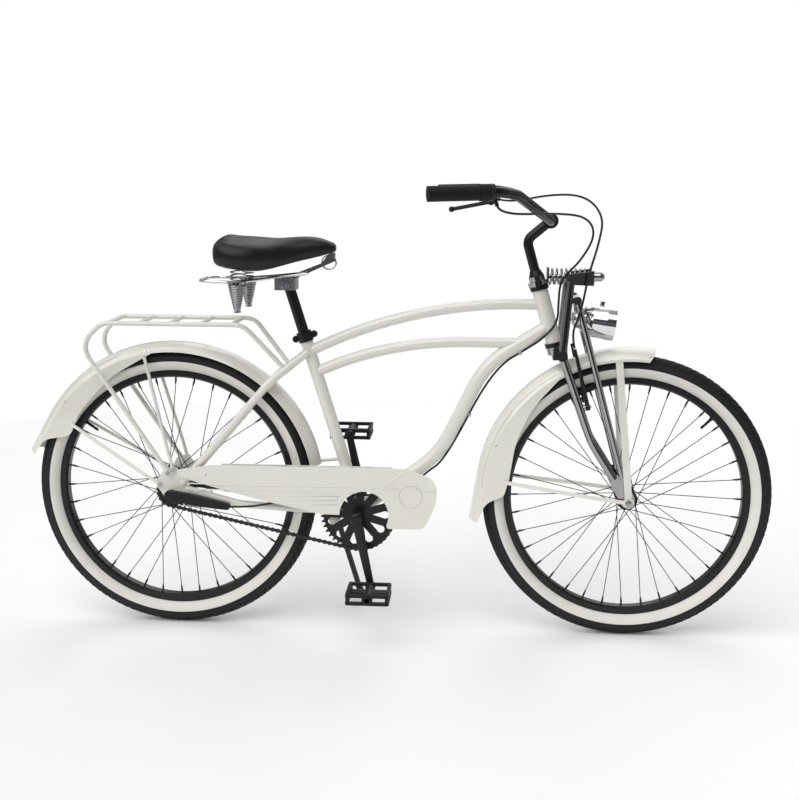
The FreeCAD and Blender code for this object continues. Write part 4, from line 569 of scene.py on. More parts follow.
# Finishes on the solids
def make_finishes():
    for make_group in (mottle_group, pebble_group, band_group):
        make_group()
    tint = colours()
    return {
        "ivory_paint": coated("Ivory gloss paint", tint.ivory, 0.2, 0.03, 6.0, coat=0.6),
        # Painted shade: the ivory darkened to stand for the shade in the fenders' pressed grooves
        "ivory_painted_shade": coated("Ivory with painted groove shade", shade(tint.ivory, 0.62), 0.3, 0.03, 6.0),
        "black_paint": coated("Black satin paint", tint.black, 0.3, 0.25, 14.0, specular=0.3),
        "chrome": coated("Polished chrome", tint.chrome, 0.09, 0.05, 20.0, metallic=1.0),
        "dark_chrome": coated("Dark chrome", tint.dark_chrome, 0.10, 0.08, 20.0, metallic=1.0),
        "steel": coated("Zinc steel", tint.steel, 0.3, 0.15, 40.0, metallic=1.0),
        "black_plastic": coated("Moulded black plastic", tint.plastic, 0.45, 0.2, 30.0, grain=900.0,
                                grain_height=0.0002, specular=0.25),
        "black_rubber": coated("Grip rubber", tint.rubber, 0.6, 0.25, 40.0, grain=600.0,
                               grain_height=0.0004, specular=0.2),
        "black_vinyl": coated("Saddle vinyl", tint.vinyl, 0.40, 0.25, 18.0, grain=420.0,
                              grain_height=0.0005, specular=0.3),
        "cable_black": coated("Cable sheath", tint.plastic, 0.38, 0.15, 30.0, specular=0.3),
        "chain_steel": coated("Oiled chain steel", tint.chain, 0.35, 0.3, 60.0, metallic=1.0),
        "lens_clear": lens_finish(),
        "front_tyre": tyre_finish("Front tyre rubber", FRONT_AXLE),
        "rear_tyre": tyre_finish("Rear tyre rubber", REAR_AXLE),
        "tread": coated("Tread rubber", tint.rubber, 0.62, 0.3, 40.0, specular=0.2),
    }


class CRUISER_OT_finishes(bpy.types.Operator):
    """Makes the materials and gives each solid its own"""
    bl_idname = "cruiser.finishes"
    bl_label = "Finishes"

    def execute(self, context):
        FINISHES.update(make_finishes())
        for part in frame["record"]["subparts"]:
            node = part["node"]
            finish = FINISHES.get(node) or FINISHES[part["material_slot"]]
            obj = NODES[node]
            if not obj.material_slots:
                obj.data.materials.append(finish)
            for place in obj.material_slots:
                place.material = finish
        return {"FINISHED"}


# Cables
SHIFT_ROUTE = [
    (0.2252, -0.287, 1.0119), (0.2321, -0.2867, 0.9944), (0.3571, -0.11, 0.994), (0.4271, -0.05, 0.985),
    (0.4491, -0.034, 0.945), (0.4171, -0.03, 0.885), (0.3731, -0.032, 0.845), (0.3701, -0.032, 0.79),
    (0.3701, -0.025, 0.745), (0.3371, -0.023, 0.708), (0.312, 0.0, 0.6868), (0.2237, 0.0, 0.6319),
    (0.119, 0.0, 0.4161), (0.0691, 0.0, 0.3793), (0.0171, -0.042, 0.337), (-0.0229, -0.062, 0.343),
    (-0.2229, -0.062, 0.33), (-0.3079, -0.073, 0.313), (-0.3529, -0.0865, 0.3115), (-0.3798, -0.0865, 0.3115)]
BRAKE_ROUTE = [
    (0.2371, 0.272, 1.016), (0.2647, 0.2625, 1.0091), (0.3571, 0.11, 1.032), (0.4291, 0.02, 1.03),
    (0.4671, -0.018, 0.985), (0.4551, -0.042, 0.925), (0.4331, -0.064, 0.858), (0.4231, -0.066, 0.8),
    (0.4141, -0.066, 0.762), (0.4004, -0.05, 0.723), (0.4084, -0.05, 0.6909)]
BRAKE_UP = Vector((-0.2425, 0.0, 0.970))
STRADDLE_DROP = 0.009
STRADDLE_HALF = 0.0455
STRADDLE_RADIUS = 0.001


class CRUISER_OT_cables(bpy.types.Operator):
    """Draws the gear cable and the front brake cable, which turns with the steering"""
    bl_idname = "cruiser.cables"
    bl_label = "Cables"

    def execute(self, context):
        radius = sizes().cable_radius
        for name, route, node in (("gear_cable", SHIFT_ROUTE, "shift_cable"),
                                  ("brake_cable", BRAKE_ROUTE, "bar_cables")):
            points = smooth_line(name + "_line", route)
            piece = mesh_from(name, lambda bm: tube(bm, points, radius))
            smooth(piece.data)
            piece.data.materials.append(FINISHES["cable_black"])
            if node == "shift_cable":
                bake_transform(piece)
            else:
                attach(piece, "steering")
            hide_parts(node)
        middle = Vector(BRAKE_ROUTE[-1]) - BRAKE_UP * STRADDLE_DROP
        ends = [Vector((middle.x, y, middle.z)) for y in (-STRADDLE_HALF, STRADDLE_HALF)]
        built("brake_straddle_wire", lambda bm: tube(bm, ends, STRADDLE_RADIUS), "springer", "steel")
        return {"FINISHED"}


# Wound springs
FORK_SPRING = Vector((0.3482, 0.0, 0.8485))
FORK_SPRING_LENGTH = 0.0949
# Each coil's turns, low and high radius, height and wire radius
FORK_COIL = (8.5, 0.0175, 0.0175, FORK_SPRING_LENGTH, 0.0025)
NOSE_COIL = (2.0, 0.0163, 0.0163, 0.0192, 0.0013)
NOSE_COIL_AT = Vector((-0.1555, -0.0096, 0.8752))
SADDLE_SPRING_X = -0.3579
SADDLE_SPRING_Y = 0.068
SADDLE_COILS = (("upper", 0.8351, (3.0, 0.013, 0.013, 0.0266, 0.0016)),
                ("tapered", 0.7671, (15.0, 0.0062, 0.019, 0.0618, 0.0018)))


class CRUISER_OT_springs(bpy.types.Operator):
    """Winds the fork spring and the saddle springs"""
    bl_idname = "cruiser.springs"
    bl_label = "Springs"

    def wound(self, name, foot, turn, body, slot, coil):
        turns, low, high, height, wire = coil
        piece = grown(name, add_object(name + "_carrier", bpy.data.meshes.new(name)),
                      shared_tree("Wound spring", spring_tree),
                      **{"Turns": turns, "Low Radius": low, "High Radius": high,
                         "Height": height - 2.0 * wire, "Wire Radius": wire, "Finish": FINISHES[slot]})
        lift = Matrix.Translation((0.0, 0.0, wire))
        piece.data.transform(Matrix.Translation(foot) @ turn.to_4x4() @ lift)
        smooth(piece.data)
        settle(piece, body, slot)
        return piece

    def execute(self, context):
        upright = Matrix.Identity(3)
        forward = Matrix.Rotation(math.pi / 2.0, 3, "Y")
        across = Matrix.Rotation(-math.pi / 2.0, 3, "X")
        fork = self.wound("fork_coil", FORK_SPRING, forward, "steering", "dark_chrome", FORK_COIL)
        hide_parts("fork_spring")
        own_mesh(fork)
        for label, way in (("left", 1.0), ("right", -1.0)):
            for kind, foot, coil in SADDLE_COILS:
                self.wound("saddle_%s_coil_%s" % (kind, label),
                                       Vector((SADDLE_SPRING_X, SADDLE_SPRING_Y * way, foot)), upright,
                                       "seat", "steel", coil)
        self.wound("saddle_nose_coil", NOSE_COIL_AT, across, "seat", "steel", NOSE_COIL)
        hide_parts("saddle_springs")
        return {"FINISHED"}


# Chain
CHAIN_Y = -0.046
LINK_PITCH = 0.0127
RING_TEETH = 42
SPROCKET_TEETH = 18
RING_R = LINK_PITCH / (2.0 * math.sin(math.pi / RING_TEETH))
SPROCKET_R = LINK_PITCH / (2.0 * math.sin(math.pi / SPROCKET_TEETH))
ARC_STEPS = 40
PLATE_STEPS = 6
PLATE_END_R = 0.0044
PLATE_WAIST = 0.0022
OUTER_PLATE = (0.0032, 0.0038)
INNER_PLATE = (0.0024, 0.0031)
ROLLER_R = 0.0038
PIN_R = 0.0016
PIN_PROUD = 0.0004


def chain_loop():
    """Corners of the chain's loop: the upper run, round the ring, the lower run, round the sprocket."""
    span = SPINDLE - REAR_AXLE
    tilt = math.atan2(span.z, span.x)
    lean = math.asin((RING_R - SPROCKET_R) / math.hypot(span.x, span.z))
    up = tilt + math.pi / 2.0 + lean
    low = tilt - math.pi / 2.0 - lean

    def arc(centre, radius, first, last):
        turns = [first + (last - first) * k / ARC_STEPS for k in range(ARC_STEPS + 1)]
        return [Vector((centre.x + radius * math.cos(a), CHAIN_Y, centre.z + radius * math.sin(a)))
                for a in turns]

    ring = arc(SPINDLE, RING_R, up, low)
    rear = arc(REAR_AXLE, SPROCKET_R, low + 2.0 * math.pi, up)
    run = (ring[0] - rear[-1]).normalized()
    return [rear[-1] + run * LINK_PITCH / 2.0] + ring + rear


def link_plates(bm, near, far, rollers):
    """Two waisted side plates and the pins or rollers at their ends."""
    outline = []
    for end in (1.0, -1.0):
        for k in range(PLATE_STEPS + 1):
            a = math.pi * (k / PLATE_STEPS - 0.5)
            outline.append((end * (LINK_PITCH / 2.0 + PLATE_END_R * math.cos(a)),
                            end * PLATE_END_R * math.sin(a)))
        outline.append((0.0, end * PLATE_WAIST))
    for side in (1.0, -1.0):
        skin(bm, [[bm.verts.new((x, side * y, z)) for x, z in outline] for y in (near, far)])
    radius, reach = (ROLLER_R, near) if rollers else (PIN_R, far + PIN_PROUD)
    for x in (LINK_PITCH / 2.0, -LINK_PITCH / 2.0):
        cylinder(bm, Vector((x, -reach, 0.0)), Vector((x, reach, 0.0)), radius, sides=12)


class CRUISER_OT_chain(bpy.types.Operator):
    """Lays the chain's links round the ring and the sprocket"""
    bl_idname = "cruiser.chain"
    bl_label = "Chain"

    def execute(self, context):
        outer = mesh_from("outer_link", lambda bm: link_plates(bm, *OUTER_PLATE, False))
        inner = mesh_from("inner_link", lambda bm: link_plates(bm, *INNER_PLATE, True))
        loop = curve_object("chain_loop", "POLY", chain_loop(), closed=True)
        chain = grown("chain_links", loop, links_tree(),
                      **{"Outer Link": outer, "Inner Link": inner, "Count": sizes().chain_links,
                         "Finish": FINISHES["chain_steel"]})
        bpy.data.objects.remove(outer)
        bpy.data.objects.remove(inner)
        settle(chain, "frame", "chain_steel", "chain")
        return {"FINISHED"}


# Wheels
TYRE_SECTION = 0.027
TYRE_OUTER = 0.335
BLOCK_ANGLES = (-50.0, -25.0, 0.0, 25.0, 50.0)
# A tread block's levels: height, half length and half width; above the root, shares of the tread's height
BLOCK_ROOT = (-0.0008, 0.0071, 0.0040)
BLOCK_LEVELS = ((0.6, 0.0067, 0.0037), (1.0, 0.0061, 0.0031))
BLOCK_SLANT = 0.0022
# Each wheel's name, axle and the turn that its valve is nearest to
WHEELS = (("front", FRONT_AXLE, math.radians(44.0)), ("rear", REAR_AXLE, math.radians(140.0)))
VALVE_START = 0.2685
# Each length of a valve or a nipple: where it starts and ends, and its radius there
VALVE_STEPS = ((0.0, 0.004, 0.0052, 0.0042), (0.004, 0.022, 0.0036, 0.0030),
               (0.022, 0.024, 0.0024, 0.0024), (0.024, 0.034, 0.0033, 0.0029))
NIPPLE_STEPS = ((-0.001, 0.0045, 0.0024, 0.0024), (0.0045, 0.012, 0.0021, 0.0017))
WELD = 1e-6


def tread_row(bm):
    """A row of blocks across the crown; x runs along the tyre and z out of it."""
    proud = sizes().tread_proud
    step = 2.0 * math.pi * TYRE_OUTER / sizes().tread_rows
    levels = [BLOCK_ROOT] + [(proud * share, long, wide) for share, long, wide in BLOCK_LEVELS]
    for k, degrees in enumerate(BLOCK_ANGLES):
        a = math.radians(degrees)
        out = Vector((0.0, math.sin(a), math.cos(a)))
        side = Vector((0.0, math.cos(a), -math.sin(a)))
        middle = Vector((step / 2.0 if k % 2 else 0.0, 0.0, -TYRE_SECTION)) + out * TYRE_SECTION
        slant = BLOCK_SLANT * (1 if degrees >= 0 else -1)
        rings = []
        for lift, long, wide in levels:
            ring = []
            for sx, sy in ((-1, -1), (1, -1), (1, 1), (-1, 1)):
                shift = Vector((sx * long + slant * sy, 0.0, 0.0))
                ring.append(bm.verts.new(middle + out * lift + side * (sy * wide) + shift))
            rings.append(ring)
        skin(bm, rings)


def spoke_ends(node, axle):
    """Where each spoke meets the rim, and its way towards the hub."""
    bm = bmesh.new()
    bm.from_mesh(NODES[node].data)
    bmesh.ops.remove_doubles(bm, verts=bm.verts, dist=WELD)
    left = set(bm.verts)
    found = []
    while left:
        stack = [left.pop()]
        island = []
        while stack:
            vertex = stack.pop()
            island.append(vertex.co.copy())
            for edge in vertex.link_edges:
                other = edge.other_vert(vertex)
                if other in left:
                    left.remove(other)
                    stack.append(other)
        island.sort(key=lambda co: math.hypot(co.x - axle.x, co.z - axle.z))
        count = len(island) // 4 or 1
        inner = sum(island[:count], Vector()) / count
        outer = sum(island[-count:], Vector()) / count
        found.append((outer, (inner - outer).normalized()))
    bm.free()
    return found


def stepped(bm, start, way, steps, sides):
    """Round lengths in a row along a direction."""
    for low, high, radius, top in steps:
        cylinder(bm, start + way * low, start + way * high, radius, top, sides)


class CRUISER_OT_wheels(bpy.types.Operator):
    """Adds tread blocks, spoke nipples and a valve to each wheel"""
    bl_idname = "cruiser.wheels"
    bl_label = "Wheels"

    def execute(self, context):
        row = mesh_from("tread_row", tread_row)
        upward = Vector((0.0, 0.0, 1.0))
        tip = mesh_from("nipple_piece", lambda bm: stepped(bm, Vector(), upward, NIPPLE_STEPS, 8))
        for label, axle, valve_turn in WHEELS:
            body = label + "_wheel"
            spots = []
            for c, s in circle(sizes().tread_rows):
                out = Vector((c, 0.0, s))
                spots.append((axle + out * TYRE_OUTER, out, Vector((-s, 0.0, c))))
            scattered(label + "_tread", spots, row, body, "tyre_rubber", "tread")
            ends = spoke_ends(label + "_spokes", axle)
            spots = [(place, way, way.orthogonal().normalized()) for place, way in ends]
            scattered(label + "_nipples", spots, tip, body, "black_paint", "black_paint")
            turns = sorted(math.atan2(place.z - axle.z, place.x - axle.x) for place, way in ends)
            between = [(low + high) / 2.0 for low, high in zip(turns, turns[1:])]
            turn = min(between, key=lambda a: abs(a - valve_turn))
            inward = Vector((-math.cos(turn), 0.0, -math.sin(turn)))
            start = axle - inward * VALVE_START
            built(label + "_valve", lambda bm: stepped(bm, start, inward, VALVE_STEPS, 16), body,
                  "black_rubber")
        bpy.data.objects.remove(row)
        bpy.data.objects.remove(tip)
        return {"FINISHED"}


# Saddle
PAD_SHRINK = (0.992, 0.97, 0.975, 1.0)
PAD_WELD = 1e-5
SWELL_PRESSURE = 4.0
SWELL_FRAMES = 20
HELD_SLICE = 0.01
HELD_DEPTH = 0.006
REAR_FROM = 0.055
REAR_RUN = 0.05
REAR_LIFT = 0.010


def swell(pad):
    """Lets the pad swell as cloth, holding its underside, and limits how far each point moves."""
    start = [vertex.co.copy() for vertex in pad.data.vertices]
    slices = [round(place.x / HELD_SLICE) for place in start]
    floor_z = {}
    for place, key in zip(start, slices):
        floor_z[key] = min(floor_z.get(key, place.z), place.z)
    low = [k for k, place in enumerate(start) if place.z < floor_z[slices[k]] + HELD_DEPTH]
    held = pad.vertex_groups.new(name="held")
    held.add(low, 1.0, "REPLACE")
    cloth = pad.modifiers.new("Swell", "CLOTH")
    cloth.settings.use_pressure = True
    cloth.settings.uniform_pressure_force = SWELL_PRESSURE
    cloth.settings.vertex_group_mass = "held"
    cloth.settings.effector_weights.gravity = 0.0
    scene = bpy.context.scene
    for number in range(1, SWELL_FRAMES + 1):
        scene.frame_set(number)
    swollen = plain_mesh(pad)
    pad.modifiers.clear()
    scene.frame_set(1)
    limit = sizes().pad_cap
    for vertex, before, after in zip(pad.data.vertices, start, swollen.vertices):
        move = after.co - before
        if move.length > limit:
            move *= limit / move.length
        vertex.co = before + move
    bpy.data.meshes.remove(swollen)


def square_rear(mesh):
    """Lifts the pad's rear end, which stands nearly upright on the real one."""
    low = min(v.co.z for v in mesh.vertices)
    high = max(v.co.z for v in mesh.vertices)
    rear = min(v.co.x for v in mesh.vertices)
    for v in mesh.vertices:
        share = max(0.0, min(1.0, (rear + REAR_FROM - v.co.x) / REAR_RUN))
        v.co.z += REAR_LIFT * share * (v.co.z - low) / (high - low)


class CRUISER_OT_saddle(bpy.types.Operator):
    """Pads the saddle as swollen vinyl"""
    bl_idname = "cruiser.saddle"
    bl_label = "Saddle"

    def execute(self, context):
        mesh = bpy.data.meshes.new("saddle_pad")
        bm = bmesh.new()
        bm.from_mesh(NODES["saddle_cushion"].data)
        bm.from_mesh(NODES["saddle_base"].data)
        bmesh.ops.remove_doubles(bm, verts=bm.verts, dist=PAD_WELD)
        bm.to_mesh(mesh)
        bm.free()
        low, high = corners("saddle_base")
        base = Vector(((low.x + high.x) / 2.0, (low.y + high.y) / 2.0, low.z))
        mesh.transform(Matrix.Translation(base) @ Matrix.Diagonal(PAD_SHRINK) @ Matrix.Translation(-base))
        pad = add_object("saddle_pad", mesh)
        remesh = pad.modifiers.new("Voxels", "REMESH")
        remesh.mode = "VOXEL"
        remesh.voxel_size = sizes().pad_voxel
        apply_modifiers(pad)
        swell(pad)
        square_rear(pad.data)
        relax = pad.modifiers.new("Relax", "SMOOTH")
        relax.factor = 0.5
        relax.iterations = 4
        round_off = pad.modifiers.new("Round", "SUBSURF")
        round_off.levels = 1
        round_off.render_levels = 1
        apply_modifiers(pad)
        smooth(pad.data)
        dress(pad, "seat", "black_vinyl", "saddle_cushion", "saddle_base")
        return {"FINISHED"}


# Bolt of the saddle clamp
BOLT_HEAD = [(0.0105, -0.001), (0.0105, 0.0022), (0.0098, 0.0032), (0.0062, 0.0032), (0.0062, 0.0062),
             (0.0052, 0.0074), (0.0024, 0.0074), (0.0022, 0.0050)]


class CRUISER_OT_clamp_bolt(bpy.types.Operator):
    """Puts the clamp bolt's round heads on the sides of the saddle clamp"""
    bl_idname = "cruiser.clamp_bolt"
    bl_label = "Saddle clamp bolt"

    def execute(self, context):
        low, high = corners("saddle_clamp")
        middle = (low + high) / 2.0
        for label, side, way in (("left", high.y, 1.0), ("right", low.y, -1.0)):
            centre = Vector((middle.x, side, middle.z))
            turn = facing(SIDEWAYS * way)
            built("clamp_bolt_" + label, lambda bm: spun(bm, BOLT_HEAD, centre, turn, 28), "seat", "steel")
        return {"FINISHED"}


# Crank
ARM_MIDDLE = 0.086
ARM_WIDE = 0.0122
ARM_NARROW = 0.0086
ARM_THICK = 0.0055
ARM_STEPS = 12
ARM_SIDES = 20
PEDAL_REACH = 0.165
CRANK_LEAN = math.radians(12.0)
SPINDLE_HALF = 0.091
SPINDLE_R = 0.011
PEDAL_AXLE_LENGTH = 0.104
PEDAL_AXLE_R = 0.006
ARM_BOSS = [(0.0125, -0.006), (0.0145, -0.0045), (0.0145, 0.003), (0.0125, 0.0058), (0.006, 0.0064)]
ARM_EYE = [(0.0095, -0.006), (0.0115, -0.0048), (0.0115, 0.0042), (0.0095, 0.0058)]
AXLE_CAP = [(0.009, 0.1014), (0.009, 0.1030), (0.0074, 0.1040)]


def crank_arm(bm, start, end):
    """A forged arm: flattened round sections that taper towards the pedal."""
    across = (end - start).normalized().cross(SIDEWAYS)
    rows = []
    for i in range(ARM_STEPS + 1):
        share = i / ARM_STEPS
        half = ARM_WIDE + (ARM_NARROW - ARM_WIDE) * share
        spot = start.lerp(end, share)
        rows.append([bm.verts.new(spot + across * (half * c) + SIDEWAYS * (ARM_THICK * s))
                     for c, s in circle(ARM_SIDES)])
    skin(bm, rows)


def crank_forging(bm):
    """The one-piece crank: spindle, two arms with their bosses, and the pedal axles."""
    cylinder(bm, SPINDLE - SIDEWAYS * SPINDLE_HALF, SPINDLE + SIDEWAYS * SPINDLE_HALF, SPINDLE_R)
    down = Vector((math.sin(CRANK_LEAN), 0.0, -math.cos(CRANK_LEAN)))
    for side in (-1.0, 1.0):
        out = SIDEWAYS * side
        hub = SPINDLE + out * ARM_MIDDLE
        eye = hub + down * (-side * PEDAL_REACH)
        turn = facing(out)
        crank_arm(bm, hub, eye)
        spun(bm, ARM_BOSS, hub, turn, 32)
        spun(bm, ARM_EYE, eye, turn, 28)
        cylinder(bm, eye, eye + out * PEDAL_AXLE_LENGTH, PEDAL_AXLE_R)
        spun(bm, AXLE_CAP, eye, turn, 24)


class CRUISER_OT_crank(bpy.types.Operator):
    """Forges the one-piece crank with rounded, tapered arms"""
    bl_idname = "cruiser.crank"
    bl_label = "Crank"

    def execute(self, context):
        built("crank_forging", crank_forging, "cranks", "black_paint", "crank", rounded=True)
        return {"FINISHED"}


# Pressed lines of the fenders: body, axle, radius, and the first and last degree
CREASES = {"front_fender": ("springer", FRONT_AXLE, 0.3385, 120.0, 176.0),
           "rear_fender": ("frame", REAR_AXLE, 0.3440, 112.0, 158.0)}
CREASE_R = 0.0007
CREASE_STEPS = 48
CREASE_LEAST = 40
RAY_START = 0.3


def side_hit(surface, x, z, way):
    """Where a ray from one side first meets a surface on that side, with the surface's normal there."""
    hit, normal, face, far = surface.ray_cast(Vector((x, way * RAY_START, z)), SIDEWAYS * -way)
    return (hit, normal) if hit is not None and hit.y * way > 0.0 else None


def node_surface(node):
    return BVHTree.FromObject(NODES[node], bpy.context.evaluated_depsgraph_get())


class CRUISER_OT_fender_lines(bpy.types.Operator):
    """Runs a fine pressed line along each fender's side, in ivory darkened as painted shade"""
    bl_idname = "cruiser.fender_lines"
    bl_label = "Fender lines"

    def execute(self, context):
        for node, (body, axle, reach, first, last) in CREASES.items():
            surface = node_surface(node)
            turns = [math.radians(first + (last - first) * k / CREASE_STEPS) for k in range(CREASE_STEPS + 1)]
            lines = []
            for way in (1.0, -1.0):
                hits = [side_hit(surface, axle.x + reach * math.cos(a), axle.z + reach * math.sin(a), way)
                        for a in turns]
                lines.append([hit[0] for hit in hits if hit])
                if len(lines[-1]) < CREASE_LEAST:
                    raise RuntimeError("a line leaves the " + node)

            def build(bm):
                for line in lines:
                    tube(bm, line, CREASE_R, sides=8)
            # The lines wear the ivory darkened as painted groove shade
            built(node + "_lines", build, body, "ivory_paint", finish="ivory_painted_shade", rounded=True)
        return {"FINISHED"}


# Stays of the front fender: the eye's distance from the middle, the end at the fender, half width
STAY_ROUTES = ((0.0602, (0.5107, 0.0345, 0.668), 0.0085), (0.0632, (0.2591, 0.0410, 0.372), 0.0045))
STAY_RUN = (0.011, 0.055, 0.100)
STAY_THIN = 0.0011
STAY_EYE = [(0.0055, -0.0012), (0.0125, -0.0012), (0.0128, 0.0), (0.0125, 0.0012), (0.0055, 0.0012)]
STRAP_SECTION = ((-1.0, -0.5), (-0.93, -1.0), (0.93, -1.0), (1.0, -0.5),
                 (1.0, 0.5), (0.93, 1.0), (-0.93, 1.0), (-1.0, 0.5))


def strap(bm, points, half, thin):
    """A flat strap along a line of points, wide in the wheel's plane and rounded at its edges."""
    rows = []
    for k, spot in enumerate(points):
        along = (points[min(k + 1, len(points) - 1)] - points[max(k - 1, 0)]).normalized()
        across = along.cross(SIDEWAYS).normalized()
        face = across.cross(along).normalized()
        rows.append([bm.verts.new(spot + across * (half * u) + face * (thin * v)) for u, v in STRAP_SECTION])
    skin(bm, rows)


def front_straps(bm):
    """The straps on both sides, each from an eye on the axle."""
    for hub_y, tip, half in STAY_ROUTES:
        for side in (1.0, -1.0):
            hub = FRONT_AXLE + SIDEWAYS * (side * hub_y)
            end = Vector((tip[0], side * tip[1], tip[2]))
            way = Vector((end.x - hub.x, 0.0, end.z - hub.z)).normalized()
            route = [hub + way * run for run in STAY_RUN] + [end]
            strap(bm, smooth_line("stay_line", route), half, STAY_THIN)
            spun(bm, STAY_EYE, hub, facing(SIDEWAYS * side), 32)


class CRUISER_OT_stays(bpy.types.Operator):
    """Makes the front fender's stays as flat straps with an eye on the axle"""
    bl_idname = "cruiser.stays"
    bl_label = "Front fender stays"

    def execute(self, context):
        built("front_fender_straps", front_straps, "springer", "ivory_paint", "front_fender_stays")
        return {"FINISHED"}


# Pedals
PEDAL_BAR = 0.0082
PEDAL_EDGE = 0.0019
# How far the bars stop short of the cage's box, and the half sizes of the blocks between them
RAIL_SHORT = 0.004
UPRIGHT_SHORT = 0.001
SIDE_SHORT = 0.003
WEB_HALF, WEB_INSET, WEB_SHORT = 0.0115, 0.0004, 0.0006
POST_HALF, POST_INSET, POST_SHORT = 0.005, 0.0005, 0.002
CROSS_Y, CROSS_Z = 0.006, 0.005
TEETH = 6
TOOTH_HALF, TOOTH_INSET, TOOTH_HEIGHT = 0.002, 0.001, 0.003
TOOTH_BELOW, TOOTH_ROOT = 0.0016, 0.0014
BARREL_LOW, BARREL_HIGH, BARREL_SHORT = 0.0125, 0.0105, 0.0008


def bar_block(bm, low, high):
    """One straight bar between two corners."""
    size = Vector(high) - Vector(low)
    place = Matrix.Translation((Vector(high) + Vector(low)) / 2.0)
    bmesh.ops.create_cube(bm, size=1.0, matrix=place @ Matrix.Diagonal((size.x, size.y, size.z, 1.0)))


def pedal_cage(bm, low, high):
    """An open cage: end frames with windows, toothed side bars, a cross bar and the barrel on the axle."""
    mid = (low + high) / 2.0
    b = PEDAL_BAR
    for y in (low.y, high.y - b):
        for z in (low.z, high.z - b):
            bar_block(bm, (low.x + RAIL_SHORT, y, z), (high.x - RAIL_SHORT, y + b, z + b))
        for x in (low.x + UPRIGHT_SHORT, high.x - b - UPRIGHT_SHORT):
            bar_block(bm, (x, y, low.z + UPRIGHT_SHORT), (x + b, y + b, high.z - UPRIGHT_SHORT))
        bar_block(bm, (mid.x - WEB_HALF, y + WEB_INSET, low.z + WEB_SHORT),
                  (mid.x + WEB_HALF, y + b - WEB_INSET, high.z - WEB_SHORT))
    for x in (low.x, high.x - b):
        for z in (low.z, high.z - b):
            bar_block(bm, (x, low.y + SIDE_SHORT, z), (x + b, high.y - SIDE_SHORT, z + b))
        bar_block(bm, (x + POST_INSET, mid.y - POST_HALF, low.z + POST_SHORT),
                  (x + b - POST_INSET, mid.y + POST_HALF, high.z - POST_SHORT))
        for k in range(TEETH):
            y = low.y + (k + 0.5) / TEETH * (high.y - low.y)
            for z in (low.z - TOOTH_BELOW, high.z - TOOTH_ROOT):
                bar_block(bm, (x + TOOTH_INSET, y - TOOTH_HALF, z),
                          (x + b - TOOTH_INSET, y + TOOTH_HALF, z + TOOTH_HEIGHT))
    bar_block(bm, (low.x + b, mid.y - CROSS_Y, mid.z - CROSS_Z),
              (high.x - b, mid.y + CROSS_Y, mid.z + CROSS_Z))
    cylinder(bm, Vector((mid.x, low.y + BARREL_SHORT, mid.z)), Vector((mid.x, high.y - BARREL_SHORT, mid.z)),
             BARREL_LOW, BARREL_HIGH)


class CRUISER_OT_pedals(bpy.types.Operator):
    """Opens the pedals into cages"""
    bl_idname = "cruiser.pedals"
    bl_label = "Pedals"

    def execute(self, context):
        for node, body in (("right_pedal", "pedal_right"), ("left_pedal", "pedal_left")):
            low, high = corners(node)
            cage = mesh_from(node + "_cage", lambda bm: pedal_cage(bm, low, high))
            edges = cage.modifiers.new("Edges", "BEVEL")
            edges.width = PEDAL_EDGE
            edges.segments = 3
            apply_modifiers(cage)
            dress(cage, body, "black_plastic", node)
        return {"FINISHED"}


# Pressed lines of the chain guard, as places in x and z
GUARD_FACE = -0.0765
GUARD_CREASE = [(-0.435, 0.3605), (-0.257, 0.3612), (-0.060, 0.3622), (-0.022, 0.3640), (-0.002, 0.3765),
                (0.018, 0.3950), (0.032, 0.4030)]
GUARD_CREASE_R = 0.0013
GUARD_FINE = [((-0.010, 0.3600), (0.0165, 0.3590)), ((0.0640, 0.3555), (0.0985, 0.3565)),
              ((-0.3246, 0.3361), (-0.1250, 0.3400)), ((-0.2959, 0.3259), (-0.1290, 0.3295)),
              ((-0.2575, 0.3165), (-0.1300, 0.3195))]
GUARD_FINE_R = 0.0008
GUARD_RING_AT = Vector((0.0391, GUARD_FACE - 0.0006, 0.344))
GUARD_RING_R = 0.0262
GUARD_BEAD_R = 0.0016
BEAD_STEPS = 64
BEAD_SIDES = 8


def ring_bead(bm, centre, reach, radius):
    """A closed round bead on a circle that faces along y."""
    rows = []
    for c, s in circle(BEAD_STEPS):
        out = Vector((c, 0.0, s))
        rows.append([bm.verts.new(centre + out * (reach + radius * u) + SIDEWAYS * (radius * v))
                     for u, v in circle(BEAD_SIDES)])
    skin(bm, rows, closed=True)


def guard_marks(bm):
    """The crease, the fine lines and the ring on the guard's face."""
    crease = smooth_line("guard_crease", [(x, GUARD_FACE, z) for x, z in GUARD_CREASE])
    tube(bm, crease, GUARD_CREASE_R, sides=10)
    for pair in GUARD_FINE:
        tube(bm, [Vector((x, GUARD_FACE, z)) for x, z in pair], GUARD_FINE_R, sides=10)
    ring_bead(bm, GUARD_RING_AT, GUARD_RING_R, GUARD_BEAD_R)


class CRUISER_OT_guard_lines(bpy.types.Operator):
    """Raises the pressed lines on the chain guard's face"""
    bl_idname = "cruiser.guard_lines"
    bl_label = "Chain guard lines"

    def execute(self, context):
        built("guard_lines", guard_marks, "frame", "ivory_paint", rounded=True)
        return {"FINISHED"}


# Lamp
LAMP_BACK = Vector((0.4231, 0.0, 0.752))
LENS_MIDDLE = Vector((0.4985, 0.0, 0.7414))
LENS_DEPTH = 0.008
REFLECTOR = [(0.004, -0.016), (0.010, -0.0155), (0.017, -0.013), (0.024, -0.008), (0.031, 0.0),
             (0.0315, -0.001), (0.0245, -0.009), (0.0175, -0.0142), (0.010, -0.017), (0.004, -0.0175)]
BULB = [(0.003, -0.015), (0.0033, -0.009), (0.0042, -0.006), (0.0044, -0.003), (0.003, 0.0),
        (0.0008, 0.0012)]


